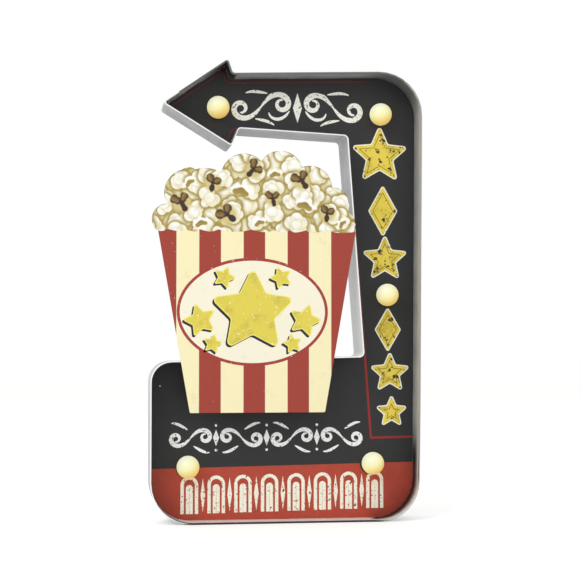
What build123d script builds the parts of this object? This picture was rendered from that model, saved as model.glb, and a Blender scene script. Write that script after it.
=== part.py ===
"""Arrow-shaped sheet-metal sign with five battery-powered LED globes.

Seen from the front, x runs to the right from the middle of the sign, z up from the edge it stands on and y away
from the viewer. Lengths are in millimetres.
"""

import os
from math import asin, degrees

from build123d import *

# Overall size and sheet metal
sign_width = 264.7
corner_height = 446.6
wall_depth = 50.0
wall_sheet = 0.8
hem_width = 1.9
hem_depth = 6.0
rim_bevel = 0.6

# Outline of the bottom block and the column, which leans in a little towards its foot
block_height_left = 154.7
block_height_right = 159.8
column_width_foot = 59.4
column_width_top = 75.2
right_edge_lean = 4.0
base_corner_radius = 40.0
top_corner_radius = 42.0
shoulder_radius = 20.0
window_radius = 4.0

# Outline of the top bar and the arrow head, measured down from the arrow's highest corner
bar_top_drop_left = 13.6
bar_top_drop_right = 7.2
bar_width_left = 53.8
bar_width_right = 65.4
neck_inset_top = 78.0
neck_inset_bottom = 84.1
barb_reach_top = 4.5
barb_reach_bottom = 7.1
arrow_head_width = 84.6
arrow_tip_inset = 10.3
arrow_tip_drop = 44.0
tip_radius = 3.0
barb_radius = 2.5
neck_radius = 3.0

# Seams of the wall strips
seam_from_tip = 19.0
lap_length = 12.0
lap_clearance = 0.3
base_seam_x = -30.0
strap_length = 40.0
strap_sheet = 0.8

# Recessed face plate, its welded tabs and where the globes stand
face_recess = 30.0
face_sheet = 0.8
face_fit = 0.15
tab_width = 12.0
tab_depth = 8.0
tab_pitch = 190.0
arrow_globe_inset = 65.85
top_globe_inset = 37.5
top_globe_drop = 47.3
column_globe_inset = 31.15
column_globe_height = 220.2
left_globe_inset = 37.35
left_globe_height = 53.0
right_globe_inset = 46.15
right_globe_height = 54.7

# Globe cap on the face, and the lamp that stands in it on a small board behind the face
globe_diameter = 22.0
globe_center_height = 8.5
lamp_diameter = 5.0
lamp_height = 8.7
lamp_fit = 0.1
lamp_tip_gap = 0.3
lamp_pin_side = 0.5
lamp_pin_pitch = 2.54
lamp_pin_length = 3.6
board_side = 13.0
board_thickness = 1.2

# Popcorn panel that lies on the rim, and the two welded brackets that hold its lower part
panel_sheet = 1.0
panel_tip_lap = 0.8
box_top_width = 191.0
box_top_height = 279.6
box_bottom_width = 130.3
box_bottom_height = 106.0
box_left_taper = 30.6
box_corner_radius = 1.5
bracket_inset_left = 20.0
bracket_inset_right = 14.0
bracket_height = 124.0
bracket_sheet = 1.0
bracket_foot = 9.0
bracket_breadth = 16.0

# Rounded lobes of the popcorn heap: right of and above the box's top left corner, and radius
popcorn_lobes = [
    (8.7, 11.1, 14.6),
    (28.1, 36.6, 22.4),
    (29.2, 51.4, 9.6),
    (44.9, 28.0, 32.4),
    (82.5, 52.4, 22.6),
    (117.7, 56.5, 21.9),
    (146.7, 43.0, 21.4),
    (169.2, 27.8, 15.7),
    (173.6, 7.5, 17.2),
]

# Battery box on the back of the face, its door and cells
case_x = -20.0
case_z = 128.0
case_wall = 1.8
case_floor = 1.3
case_pad = 0.5
case_pad_inset = 5.0
case_corner_bevel = 1.6
partition = 1.5
cell_diameter = 14.1
cell_body_length = 49.0
cell_button_diameter = 5.2
cell_button_length = 1.3
cell_spacing = 15.2
cell_side_clearance = 0.5
cell_floor_clearance = 0.4
cell_cover_clearance = 0.45
cradle_thickness = 1.2
cradle_height = 4.5
cradle_spacing = 36.0
cradle_fit = 0.15
door_tongue = 0.8
door_cap = 0.8
door_fit = 0.15
groove_depth = 1.0
grip_count = 5
grip_pitch = 2.4
grip_width = 1.1
grip_depth = 0.4
grip_length = 14.0
grip_inset = 6.0
contact_sheet = 0.4
contact_height = 12.0
contact_width = 10.0
contact_fit = 0.15
contact_tag_width = 2.4
contact_tag_length = 7.0
leaf_bow = 3.0
leaf_width = 6.0
leaf_length = 8.0
leaf_root = 0.7

# Slide switch in its bay beside the cells
switch_bay_length = 13.0
switch_deck = 1.2
switch_body_length = 12.5
switch_body_width = 6.4
switch_body_height = 5.2
switch_travel = 3.0
switch_fit = 0.15
slider_foot_length = 4.4
slider_foot_width = 4.0
slider_foot_height = 1.0
slider_knob = 3.0
slider_proud = 0.5
slider_groove = 0.6
switch_rail = 1.0
switch_rail_length = 8.0
terminal_width = 1.2
terminal_thickness = 0.5
terminal_length = 3.0
terminal_pitch = 4.0

# Leads between the lamps and the clips that hold them
lead_diameter = 1.2
lead_sides = 6
lead_spacing = 1.6
lead_gap = 0.25
lead_slack = 7.0
lead_slack_bend = 150.0
feed_bend = 20.0
feed_corner_drop = 12.0
feed_start = 4.5
feed_rise_start = 5.0
feed_rise_bend = 2.5
lead_notch_width = 5.0
clip_length = 6.0
clip_width = 7.0
clip_roof = 1.2
clip_fit = 0.15
clip_edge_bevel = 0.8

# Keyhole hangers behind the top wall
hanger_sheet = 1.0
hanger_width = 30.0
hanger_drop = 24.0
hanger_flange = 11.0
hanger_corner_bevel = 3.0
keyhole_diameter = 9.0
keyhole_slot = 4.4
keyhole_rise = 8.0
keyhole_drop = 15.0
hanger_left_from_neck = 36.0
hanger_right_from_round = 21.2

# Levels from front to back
total_depth = wall_depth + panel_sheet
panel_y = -total_depth / 2
rim_y = panel_y + panel_sheet
rear_y = rim_y + wall_depth
face_y = rim_y + face_recess
face_back_y = face_y + face_sheet

# Corners of the outline; the round top corner takes a little width off the leaning right edge
bar_top_left_z = corner_height - bar_top_drop_left
bar_top_right_z = corner_height - bar_top_drop_right
left_x = -sign_width / 2
right_x = sign_width / 2 + right_edge_lean * top_corner_radius / bar_top_right_z
foot_x = right_x - right_edge_lean
tip = Vector(left_x + arrow_tip_inset, corner_height - arrow_tip_drop)
barb_top = Vector(left_x + neck_inset_top - barb_reach_top, corner_height)
neck_top = Vector(left_x + neck_inset_top, bar_top_left_z)
bar_right = Vector(right_x, bar_top_right_z)
base_right = Vector(foot_x, 0)
base_left = Vector(left_x, 0)
shoulder = Vector(left_x, block_height_left)
window_low = Vector(right_x - column_width_foot, block_height_right)
window_high = Vector(right_x - column_width_top, bar_top_right_z - bar_width_right)
neck_bottom = Vector(left_x + neck_inset_bottom, bar_top_left_z - bar_width_left)
barb_bottom = Vector(left_x + neck_inset_bottom - barb_reach_bottom, corner_height - arrow_head_width)

# Clockwise round the sign, each corner with its radius
outline_corners = [
    (tip, tip_radius),
    (barb_top, barb_radius),
    (neck_top, neck_radius),
    (bar_right, top_corner_radius),
    (base_right, base_corner_radius),
    (base_left, base_corner_radius),
    (shoulder, shoulder_radius),
    (window_low, window_radius),
    (window_high, window_radius),
    (neck_bottom, neck_radius),
    (barb_bottom, barb_radius),
]

# The arrow's upper left edge, where the strips lap
upper_edge = (barb_top - tip).normalized()
upper_outward = Vector(-upper_edge.Y, upper_edge.X)
lower_edge = (tip - barb_bottom).normalized()
seam = tip + upper_edge * seam_from_tip

# Where the globes stand on the face
globe_places = {
    "left": (left_x + left_globe_inset, left_globe_height),
    "right": (right_x - right_globe_inset, right_globe_height),
    "column": (right_x - column_globe_inset, column_globe_height),
    "top": (right_x - top_globe_inset, corner_height - top_globe_drop),
    "arrow": (left_x + arrow_globe_inset, tip.Y),
}


def facing_front(y):
    """Sketch plane at depth y that faces the viewer, so that a negative extrusion runs backwards."""
    return Plane(origin=(0, y, 0), x_dir=(1, 0, 0), z_dir=(0, -1, 0))


def facing_back(x, y, z):
    """Sketch plane whose normal points backwards, with its origin at a point of the sign."""
    return Plane(origin=(x, y, z), x_dir=(1, 0, 0), z_dir=(0, 1, 0))


def outline(inset=0.0, lap_shift=0.0):
    """Face inside the sign's outline; lap_shift moves the arrow's upper left edge outwards."""
    points = [corner for corner, _ in outline_corners]
    points[0] = tip + lower_edge * (lap_shift / lower_edge.dot(upper_outward))
    points[1] = barb_top + upper_outward * lap_shift
    with BuildSketch() as flat:
        with BuildLine():
            FilletPolyline(points, radius=[radius for _, radius in outline_corners], close=True)
        make_face()
        if inset:
            offset(amount=-inset, kind=Kind.INTERSECTION, mode=Mode.REPLACE)
    return flat.sketch


def inner_strip_region():
    """Flat region that holds the inner wall strip: arrow tip, window edge and half the block's top."""
    bar_middle = (neck_top + neck_bottom) / 2
    corner_middle = (bar_right + window_high) / 2
    column_middle = Vector((foot_x + window_low.X) / 2, block_height_right / 2)
    clear_of_sign = 20.0
    with BuildSketch() as region:
        with BuildLine():
            Polyline(
                seam + upper_outward * clear_of_sign / 2,
                seam - upper_outward * clear_of_sign / 2,
                bar_middle,
                corner_middle,
                column_middle,
                (base_seam_x, block_height_left / 2),
                (base_seam_x, block_height_right + clear_of_sign),
                (left_x - clear_of_sign, block_height_left + clear_of_sign),
                (left_x - clear_of_sign, tip.Y + clear_of_sign),
                close=True,
            )
        make_face()
    return region.sketch


def wall_ring(thickness, depth, lap_shift):
    """Add a closed band of the given thickness inside the outline, running back from the rim."""
    with BuildSketch(facing_front(rim_y)) as ring:
        add(outline(lap_shift=lap_shift))
        add(outline(inset=thickness, lap_shift=lap_shift), mode=Mode.SUBTRACT)
    extrude(ring.sketch, amount=-depth)


def bevel_rim():
    """Bevel the outer edge of the hem's front face."""
    front_face = faces().sort_by(Axis.Y)[0]
    chamfer(front_face.outer_wire().edges(), length=rim_bevel)


# Inner wall strip, which laps over the outer strip on the arrow's upper left edge
with BuildPart() as wall_strip_inner:
    wall_ring(wall_sheet, wall_depth, wall_sheet)
    wall_ring(hem_width, hem_depth, wall_sheet)
    bevel_rim()
    with BuildSketch(facing_front(rim_y)):
        add(inner_strip_region())
    extrude(amount=-wall_depth, mode=Mode.INTERSECT)

# Outer wall strip, with the tongue that lies under the lap behind the hem
with BuildPart() as wall_strip_outer:
    wall_ring(wall_sheet, wall_depth, 0)
    wall_ring(hem_width, hem_depth, 0)
    bevel_rim()
    with BuildSketch(facing_front(rim_y)):
        add(inner_strip_region())
    extrude(amount=-wall_depth, mode=Mode.SUBTRACT)
    tongue_y = rim_y + hem_depth + lap_clearance
    tongue_start = seam - upper_edge * lap_length
    with BuildSketch(facing_front(tongue_y)):
        with BuildLine():
            Polyline(
                tongue_start,
                seam,
                seam - upper_outward * wall_sheet,
                tongue_start - upper_outward * wall_sheet,
                close=True,
            )
        make_face()
    extrude(amount=-(rear_y - tongue_y))

# Strap inside the block's upper wall, across the strips' second seam
block_top_edge = (window_low - shoulder).normalized()
block_top_inward = Vector(block_top_edge.Y, -block_top_edge.X)
strap_middle = shoulder + block_top_edge * ((base_seam_x - shoulder.X) / block_top_edge.X)
strap_origin = strap_middle + block_top_inward * wall_sheet
strap_plane = Plane(
    origin=(strap_origin.X, rear_y, strap_origin.Y),
    x_dir=(block_top_edge.X, 0, block_top_edge.Y),
    z_dir=(0, -1, 0),
)
with BuildPart() as seam_strap:
    with BuildSketch(strap_plane):
        Rectangle(strap_length, strap_sheet, align=(Align.CENTER, Align.MAX))
    extrude(amount=rear_y - face_y - tab_depth - lap_clearance)

# Corners of the panel's box; its top right corner laps the column's rim
column_edge_x = window_low.X + (window_high.X - window_low.X) * (box_top_height - window_low.Y) / (
    window_high.Y - window_low.Y
)
box_top_right_x = column_edge_x + panel_tip_lap
box_top_left_x = box_top_right_x - box_top_width
box_bottom_left_x = box_top_left_x + box_left_taper
box_bottom_right_x = box_bottom_left_x + box_bottom_width

# Battery box: sizes along its length, and heights above the back of the face
cell_length = cell_body_length + cell_button_length
cell_bay_length = cell_length + leaf_bow + 2 * contact_sheet + 2 * contact_fit
bay_width = cell_spacing + cell_diameter + 2 * cell_side_clearance
case_length = 2 * case_wall + partition + switch_bay_length + cell_bay_length
case_width = bay_width + 2 * case_wall
cell_bay_left = case_length / 2 - case_wall - cell_bay_length
cell_bay_middle = cell_bay_left + cell_bay_length / 2
switch_bay_middle = cell_bay_left - partition - switch_bay_length / 2
cell_axis_height = case_floor + cell_floor_clearance + cell_diameter / 2
door_seat_height = cell_axis_height + cell_diameter / 2 + cell_cover_clearance - door_fit
groove_top_height = door_seat_height + 2 * door_fit + door_tongue
case_height = groove_top_height + door_cap
deck_underside = case_height - switch_deck
door_length = cell_bay_length + case_wall - 2 * door_fit
cell_offsets = {"upper": -cell_spacing / 2, "lower": cell_spacing / 2}
case_back_y = face_back_y + case_pad

# The lamps' boards lie against the back of the face; the leads run at the ends of the lamps' pins
lead_y = face_back_y + lamp_pin_length - lead_gap - lead_diameter / 2
lead_height = lead_y - case_back_y

# Switch under the case's deck; the plus tag lies on the leads, the minus tag under the switch's pins
switch_body_top = deck_underside - switch_fit
switch_body_bottom = switch_body_top - switch_body_height
pin_end_height = switch_body_bottom - terminal_length
tag_places = {
    "upper": (cell_offsets["upper"], lead_height + lead_diameter / 2 + lead_gap),
    "lower": (terminal_pitch, pin_end_height - lead_gap - contact_sheet),
}


def case_plane(height):
    """Plane at a height in the battery box; local x is the sign's x, local y points down."""
    return facing_back(case_x, case_back_y + height, case_z)


def case_section(u):
    """Plane across the battery box at u along it; local x points down, local y backwards."""
    return Plane(origin=(case_x + u, case_back_y, case_z), x_dir=(0, 0, -1), z_dir=(1, 0, 0))


def case_side(v):
    """Plane along the battery box at v below its middle; local x is the sign's x, local y backwards."""
    return Plane(origin=(case_x, case_back_y, case_z - v), x_dir=(1, 0, 0), z_dir=(0, 0, 1))


# Face plate with its holes and the tabs that are welded to the walls
with BuildPart() as face_plate:
    plate_inset = wall_sheet + face_fit
    with BuildSketch(facing_front(face_y)):
        add(outline(inset=plate_inset))
        with Locations(*globe_places.values()):
            Circle(lamp_diameter / 2 + lamp_fit, mode=Mode.SUBTRACT)
    extrude(amount=-face_sheet)
    for i, (start, start_radius) in enumerate(outline_corners):
        end, end_radius = outline_corners[(i + 1) % len(outline_corners)]
        along = (end - start).normalized()
        inward = Vector(along.Y, -along.X)
        straight = (end - start).length - start_radius - end_radius
        count = int(straight // tab_pitch) + 1 if straight > 3 * tab_width else 0
        for k in range(count):
            place = start + along * (start_radius + straight * (k + 0.5) / count) + inward * plate_inset
            tab_plane = Plane(origin=(place.X, face_y, place.Y), x_dir=(along.X, 0, along.Y), z_dir=(0, -1, 0))
            with BuildSketch(tab_plane):
                Rectangle(tab_width, face_sheet, align=(Align.CENTER, Align.MAX))
            extrude(amount=-tab_depth)

# Die-cut panel: a box that narrows downwards, with the popcorn heap's lobes above it
with BuildPart() as popcorn_panel:
    with BuildSketch(facing_front(rim_y)):
        with BuildLine():
            Polyline(
                (box_top_left_x, box_top_height),
                (box_top_right_x, box_top_height),
                (box_bottom_right_x, box_bottom_height),
                (box_bottom_left_x, box_bottom_height),
                close=True,
            )
        box = make_face()
        fillet(box.vertices().group_by(Axis.Y)[0], radius=box_corner_radius)
        for right, above, radius in popcorn_lobes:
            with Locations((box_top_left_x + right, box_top_height + above)):
                Circle(radius)
        with BuildLine():
            Polyline(
                [(box_top_left_x, box_top_height)]
                + [(box_top_left_x + right, box_top_height + above) for right, above, _ in popcorn_lobes]
                + [(box_top_right_x, box_top_height)],
                close=True,
            )
        make_face()
    extrude(amount=panel_sheet)


def bracket(middle_x, towards):
    """Z-shaped sheet bracket from the face to the panel; towards is the side its panel foot points to."""
    plane = Plane(origin=(middle_x, rim_y, bracket_height), x_dir=(towards, 0, 0), z_dir=(0, 0, towards))
    with BuildPart() as made:
        with BuildSketch(plane):
            Rectangle(bracket_sheet, face_recess, align=(Align.CENTER, Align.MIN))
            Rectangle(bracket_foot, bracket_sheet, align=(Align.MIN, Align.MIN))
            with Locations((0, face_recess)):
                Rectangle(bracket_foot, bracket_sheet, align=(Align.MAX, Align.MAX))
        extrude(amount=bracket_breadth / 2, both=True)
    return made.part


# One globe cap, standing on its foot at the origin, with a bore for the lamp
globe_radius = globe_diameter / 2
bore_radius = lamp_diameter / 2 + lamp_fit
bore_height = lamp_height - face_sheet + lamp_tip_gap
foot_angle = degrees(asin(globe_center_height / globe_radius))
with BuildPart() as globe:
    with BuildSketch(Plane.XZ):
        with BuildLine():
            ball = CenterArc((0, globe_center_height), globe_radius, -foot_angle, 90 + foot_angle)
            Polyline(
                ball @ 1,
                (0, bore_height),
                (bore_radius, bore_height),
                (bore_radius, 0),
                ball @ 0,
            )
        make_face()
    revolve(axis=Axis.Z)

# One lamp, standing on its board at the origin: a flat-topped body and two pins
with BuildPart() as lamp:
    with BuildSketch():
        Circle(lamp_diameter / 2)
    extrude(amount=lamp_height)
    with BuildSketch():
        with GridLocations(lamp_pin_pitch, 0, 2, 1):
            Rectangle(lamp_pin_side, lamp_pin_side)
    extrude(amount=-lamp_pin_length)

# One board, with its front at the origin and two holes for the pins
with BuildPart() as board:
    with BuildSketch():
        Rectangle(board_side, board_side)
        with GridLocations(lamp_pin_pitch, 0, 2, 1):
            Rectangle(lamp_pin_side, lamp_pin_side, mode=Mode.SUBTRACT)
    extrude(amount=-board_thickness)


def lamp_planes(y):
    """Planes on the lamps' axes at depth y, with their normals towards the viewer."""
    return [Plane(origin=(x, y, z), x_dir=(1, 0, 0), z_dir=(0, -1, 0)) for x, z in globe_places.values()]


# The five caps, lamps and boards at their places
with BuildPart() as globe_caps:
    with Locations(*lamp_planes(face_y)):
        add(globe.part)
with BuildPart() as led_lamps:
    with Locations(*lamp_planes(face_back_y)):
        add(lamp.part)
with BuildPart() as lamp_boards:
    with Locations(*lamp_planes(face_back_y)):
        add(board.part)

# Foam pad that sticks the battery box to the face
with BuildPart() as case_pad_foam:
    with BuildSketch(facing_back(case_x, face_back_y, case_z)):
        with Locations((cell_bay_middle, 0)):
            Rectangle(cell_bay_length - 2 * case_pad_inset, bay_width - 2 * case_pad_inset)
    extrude(amount=case_pad)

# Battery box: open tray for the cells, closed switch bay, and grooves for the door
with BuildPart() as battery_case:
    with BuildSketch(case_plane(0)):
        body = Rectangle(case_length, case_width)
        chamfer(body.vertices(), length=case_corner_bevel)
    extrude(amount=case_height)
    with BuildSketch(case_plane(case_floor)):
        with Locations((cell_bay_middle, 0)):
            Rectangle(cell_bay_length, bay_width)
    extrude(amount=case_height, mode=Mode.SUBTRACT)
    with BuildSketch(case_plane(0)):
        with Locations((switch_bay_middle, 0)):
            Rectangle(switch_bay_length, bay_width)
    extrude(amount=deck_underside, mode=Mode.SUBTRACT)
    # The door's way, out through the end wall
    with BuildSketch(case_plane(door_seat_height)):
        with Locations((cell_bay_left, 0)):
            Rectangle(case_length, bay_width + 2 * groove_depth, align=(Align.MIN, Align.CENTER))
    extrude(amount=groove_top_height - door_seat_height, mode=Mode.SUBTRACT)
    with BuildSketch(case_plane(groove_top_height)):
        with Locations((cell_bay_left, 0)):
            Rectangle(case_length, bay_width, align=(Align.MIN, Align.CENTER))
    extrude(amount=door_cap, mode=Mode.SUBTRACT)
    # Ribs with a V-shaped notch under each cell
    for u in (cell_bay_middle - cradle_spacing / 2, cell_bay_middle + cradle_spacing / 2):
        with BuildSketch(case_section(u - cradle_thickness / 2)):
            with Locations((0, case_floor)):
                Rectangle(bay_width, cradle_height, align=(Align.CENTER, Align.MIN))
            with Locations(*[(v, cell_axis_height) for v in cell_offsets.values()]):
                notch_side = cell_diameter + 2 * cradle_fit
                Rectangle(notch_side, notch_side, rotation=45, mode=Mode.SUBTRACT)
        extrude(amount=cradle_thickness)
    # Slots in the partition for the contacts' tags
    with BuildSketch(case_section(cell_bay_left - partition)):
        with Locations(*tag_places.values()):
            tag_slot = (contact_tag_width + 2 * contact_fit, contact_sheet + 2 * contact_fit)
            Rectangle(*tag_slot)
    extrude(amount=partition, mode=Mode.SUBTRACT)
    # Notch where the leads come in under the lower wall
    with BuildSketch(case_side(case_width / 2)):
        with Locations((switch_bay_middle, 0)):
            notch_height = lead_height + lead_diameter / 2 + lead_gap
            Rectangle(lead_notch_width, notch_height, align=(Align.CENTER, Align.MIN))
    extrude(amount=case_wall, mode=Mode.SUBTRACT)
    # Slot in the deck for the knob, and the rails that grip the switch
    with BuildSketch(case_plane(deck_underside)):
        with Locations((switch_bay_middle, 0)):
            Rectangle(slider_knob + 2 * switch_fit, slider_knob + switch_travel + 2 * switch_fit)
    extrude(amount=switch_deck, mode=Mode.SUBTRACT)
    with BuildSketch(case_plane(deck_underside)):
        with Locations((switch_bay_middle, 0)):
            with GridLocations(switch_body_width + 2 * switch_fit + switch_rail, 0, 2, 1):
                Rectangle(switch_rail, switch_rail_length)
    extrude(amount=-switch_body_height)

# Sliding door: a cap between the lips of the case, with a tongue that runs in its grooves
with BuildPart() as battery_door:
    with BuildSketch(case_section(case_length / 2 - door_length)):
        with Locations((0, door_seat_height + door_fit)):
            Rectangle(bay_width + 2 * (groove_depth - door_fit), door_tongue, align=(Align.CENTER, Align.MIN))
            Rectangle(
                bay_width - 2 * door_fit,
                case_height - door_seat_height - door_fit,
                align=(Align.CENTER, Align.MIN),
            )
    extrude(amount=door_length)
    with BuildSketch(case_plane(case_height)):
        grip_middle = case_length / 2 - door_length + grip_inset + grip_pitch * (grip_count - 1) / 2
        with Locations((grip_middle, 0)):
            with GridLocations(grip_pitch, 0, grip_count, 1):
                Rectangle(grip_width, grip_length)
    extrude(amount=-grip_depth, mode=Mode.SUBTRACT)


def cell(body_u, button_u, v):
    """One cell with its body starting at body_u and its button at button_u, at offset v."""
    with BuildPart() as made:
        with BuildSketch(case_section(body_u)):
            with Locations((v, cell_axis_height)):
                Circle(cell_diameter / 2)
        extrude(amount=cell_body_length)
        with BuildSketch(case_section(button_u)):
            with Locations((v, cell_axis_height)):
                Circle(cell_button_diameter / 2)
        extrude(amount=cell_button_length)
    return made.part


# The upper cell points to the switch, the lower one away from it
cell_bay_right = cell_bay_left + cell_bay_length
upper_button_u = cell_bay_left + contact_sheet + contact_fit
lower_button_u = cell_bay_right - contact_sheet - contact_fit - cell_button_length
cell_upper = cell(upper_button_u + cell_button_length, upper_button_u, cell_offsets["upper"])
cell_lower = cell(lower_button_u - cell_body_length, lower_button_u, cell_offsets["lower"])


def contact_blade(u, v, width):
    """Add a flat contact that stands on the case's floor across the bay."""
    with BuildSketch(case_section(u)) as blade:
        with Locations((v, case_floor)):
            Rectangle(width, contact_height, align=(Align.CENTER, Align.MIN))
    extrude(blade.sketch, amount=contact_sheet)


def contact_leaf(u, v, towards):
    """Add a bent leaf that presses on a cell; towards is 1 or -1 along the case."""
    low = cell_axis_height - leaf_length / 2
    high = cell_axis_height + leaf_length / 2
    with BuildSketch(case_side(v)) as leaf:
        with BuildLine():
            Polyline(
                (u, low),
                (u + towards * leaf_bow, cell_axis_height),
                (u, high),
                (u, high - leaf_root),
                (u + towards * (leaf_bow - contact_sheet), cell_axis_height),
                (u, low + leaf_root),
                close=True,
            )
        make_face()
    extrude(leaf.sketch, amount=leaf_width / 2, both=True)


def contact_tag(which):
    """Add the tag that runs through the partition to the switch bay."""
    with BuildSketch(case_section(cell_bay_left - partition - contact_tag_length)) as tag:
        with Locations(tag_places[which]):
            Rectangle(contact_tag_width, contact_sheet)
    extrude(tag.sketch, amount=contact_tag_length + partition + contact_sheet)


# Contact that joins the two cells at the far end
with BuildPart() as contact_bridge:
    contact_blade(cell_bay_right - contact_sheet, 0, cell_spacing + contact_width)
    contact_leaf(cell_bay_right - contact_sheet, cell_offsets["upper"], -1)

# Contact at the upper cell's button
with BuildPart() as contact_plus:
    contact_blade(cell_bay_left, cell_offsets["upper"], contact_width)
    contact_tag("upper")

# Contact at the lower cell's flat end
with BuildPart() as contact_minus:
    contact_blade(cell_bay_left, cell_offsets["lower"], contact_width)
    contact_leaf(cell_bay_left + contact_sheet, cell_offsets["lower"], 1)
    contact_tag("lower")

# Slide switch: its body under the deck, with a pocket for the slider's foot
pocket_depth = slider_foot_height + 2 * switch_fit
with BuildPart() as switch_body:
    with BuildSketch(case_plane(switch_body_bottom)):
        with Locations((switch_bay_middle, 0)):
            Rectangle(switch_body_width, switch_body_length)
    extrude(amount=switch_body_height)
    with BuildSketch(case_plane(switch_body_top)):
        with Locations((switch_bay_middle, 0)):
            Rectangle(slider_foot_width + 2 * switch_fit, slider_foot_length + switch_travel + 2 * switch_fit)
    extrude(amount=-pocket_depth, mode=Mode.SUBTRACT)

# The slider at its lower stop: a foot in the body and a ribbed knob through the deck
slider_v = switch_travel / 2
with BuildPart() as switch_slider:
    with BuildSketch(case_plane(switch_body_top - pocket_depth + switch_fit)):
        with Locations((switch_bay_middle, slider_v)):
            Rectangle(slider_foot_width, slider_foot_length)
    extrude(amount=slider_foot_height)
    with BuildSketch(case_plane(switch_body_top - switch_fit)):
        with Locations((switch_bay_middle, slider_v)):
            Rectangle(slider_knob, slider_knob)
    extrude(amount=case_height + slider_proud - switch_body_top + switch_fit)
    with BuildSketch(case_plane(case_height + slider_proud)):
        with Locations((switch_bay_middle, slider_v)):
            with GridLocations(0, 2 * slider_groove, 1, 2):
                Rectangle(slider_knob, slider_groove)
    extrude(amount=-slider_groove / 2, mode=Mode.SUBTRACT)

# Three solder pins under the switch
with BuildPart() as switch_terminals:
    with BuildSketch(case_plane(switch_body_bottom)):
        with Locations((switch_bay_middle, 0)):
            with GridLocations(0, terminal_pitch, 1, 3):
                Rectangle(terminal_thickness, terminal_width)
    extrude(amount=-terminal_length)


def lead(points, bends):
    """One insulated lead along points, with an arc of the given radius at each bend."""
    with BuildPart() as tube:
        with BuildLine() as route:
            FilletPolyline(points, radius=bends)
        with BuildSketch(Plane(origin=route.line @ 0, z_dir=route.line % 0)):
            RegularPolygon(lead_diameter / 2, lead_sides)
        sweep(path=route.line)
    return tube.part


# Middle lines of the five pairs: each leaves a lamp beside its pins and hangs a little slack on the way
across = lead_spacing / 2
beside_pins = lamp_pin_pitch / 2 + lamp_pin_side / 2 + lead_gap
above_pins = lamp_pin_side / 2 + lead_gap
left, right, column, top, arrow = (Vector(x, lead_y, z) for x, z in globe_places.values())
toward_right = Vector(beside_pins, 0, 0)
upward = Vector(0, 0, above_pins)
lead_runs = {
    "base": (left + toward_right, right - toward_right, Vector(0, 0, -1)),
    "column": (right + upward, column - upward, Vector(1, 0, 0)),
    "side": (column + upward, top - upward, Vector(1, 0, 0)),
    "bar": (top - toward_right, arrow + toward_right, Vector(0, 0, -1)),
}
lead_parts = {}
clip_planes = []


def add_clip(start, end):
    """Note the place of a clip halfway along a straight run of leads."""
    along = (end - start).normalized()
    middle = (start + end) / 2
    origin = (middle.X, face_back_y, middle.Z)
    clip_planes.append(Plane(origin=origin, x_dir=(along.Z, 0, -along.X), z_dir=(along.X, 0, along.Z)))


for name, (start, end, sag) in lead_runs.items():
    slack_point = (start + end) / 2 + sag * lead_slack
    step = Vector(abs(sag.X), 0, abs(sag.Z)) * across
    for color, side in (("red", 1), ("black", -1)):
        route = [point + step * side for point in (start, slack_point, end)]
        lead_parts[f"lead_{color}_{name}"] = lead(route, [lead_slack_bend])
    add_clip(start, slack_point)


def in_case(u, v, height):
    """Point inside the battery box, from its offsets and its height."""
    return Vector(case_x + u, case_back_y + height, case_z - v)


# Feed leads from the left lamp up into the battery box: red to the plus tag, black to the switch
feed_corner = in_case(switch_bay_middle, case_width / 2 + feed_corner_drop, lead_height)
feed_along = (feed_corner - left).normalized()
feed_normal = Vector(-feed_along.Z, 0, feed_along.X)
entry_normal = Vector(-1, 0, 0)
mitre = (feed_normal + entry_normal) * (across / (1 + feed_normal.dot(entry_normal)))
feed_first = left + feed_along * feed_start
plus_v, _ = tag_places["upper"]
lead_parts["lead_red_feed"] = lead(
    [
        feed_first - mitre,
        feed_corner - mitre,
        in_case(switch_bay_middle + across, plus_v - across, lead_height),
    ],
    [feed_bend],
)
lead_parts["lead_black_feed"] = lead(
    [
        feed_first + mitre,
        feed_corner + mitre,
        in_case(switch_bay_middle - across, feed_rise_start, lead_height),
        in_case(switch_bay_middle - across, 0, pin_end_height - lead_diameter / 2),
    ],
    [feed_bend, feed_rise_bend],
)
add_clip(feed_first, feed_corner)

# Saddle clips stuck to the back of the face over the leads
with BuildPart() as lead_clips:
    lead_top = lead_y + lead_diameter / 2 + clip_fit - face_back_y
    for plane in clip_planes:
        with BuildSketch(plane):
            saddle = Rectangle(clip_width, lead_top + clip_roof, align=(Align.CENTER, Align.MIN))
            chamfer(saddle.vertices().group_by(Axis.Y)[-1], length=clip_edge_bevel)
            Rectangle(
                lead_spacing + lead_diameter + 2 * clip_fit,
                lead_top,
                align=(Align.CENTER, Align.MIN),
                mode=Mode.SUBTRACT,
            )
        extrude(amount=clip_length / 2, both=True)


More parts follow.
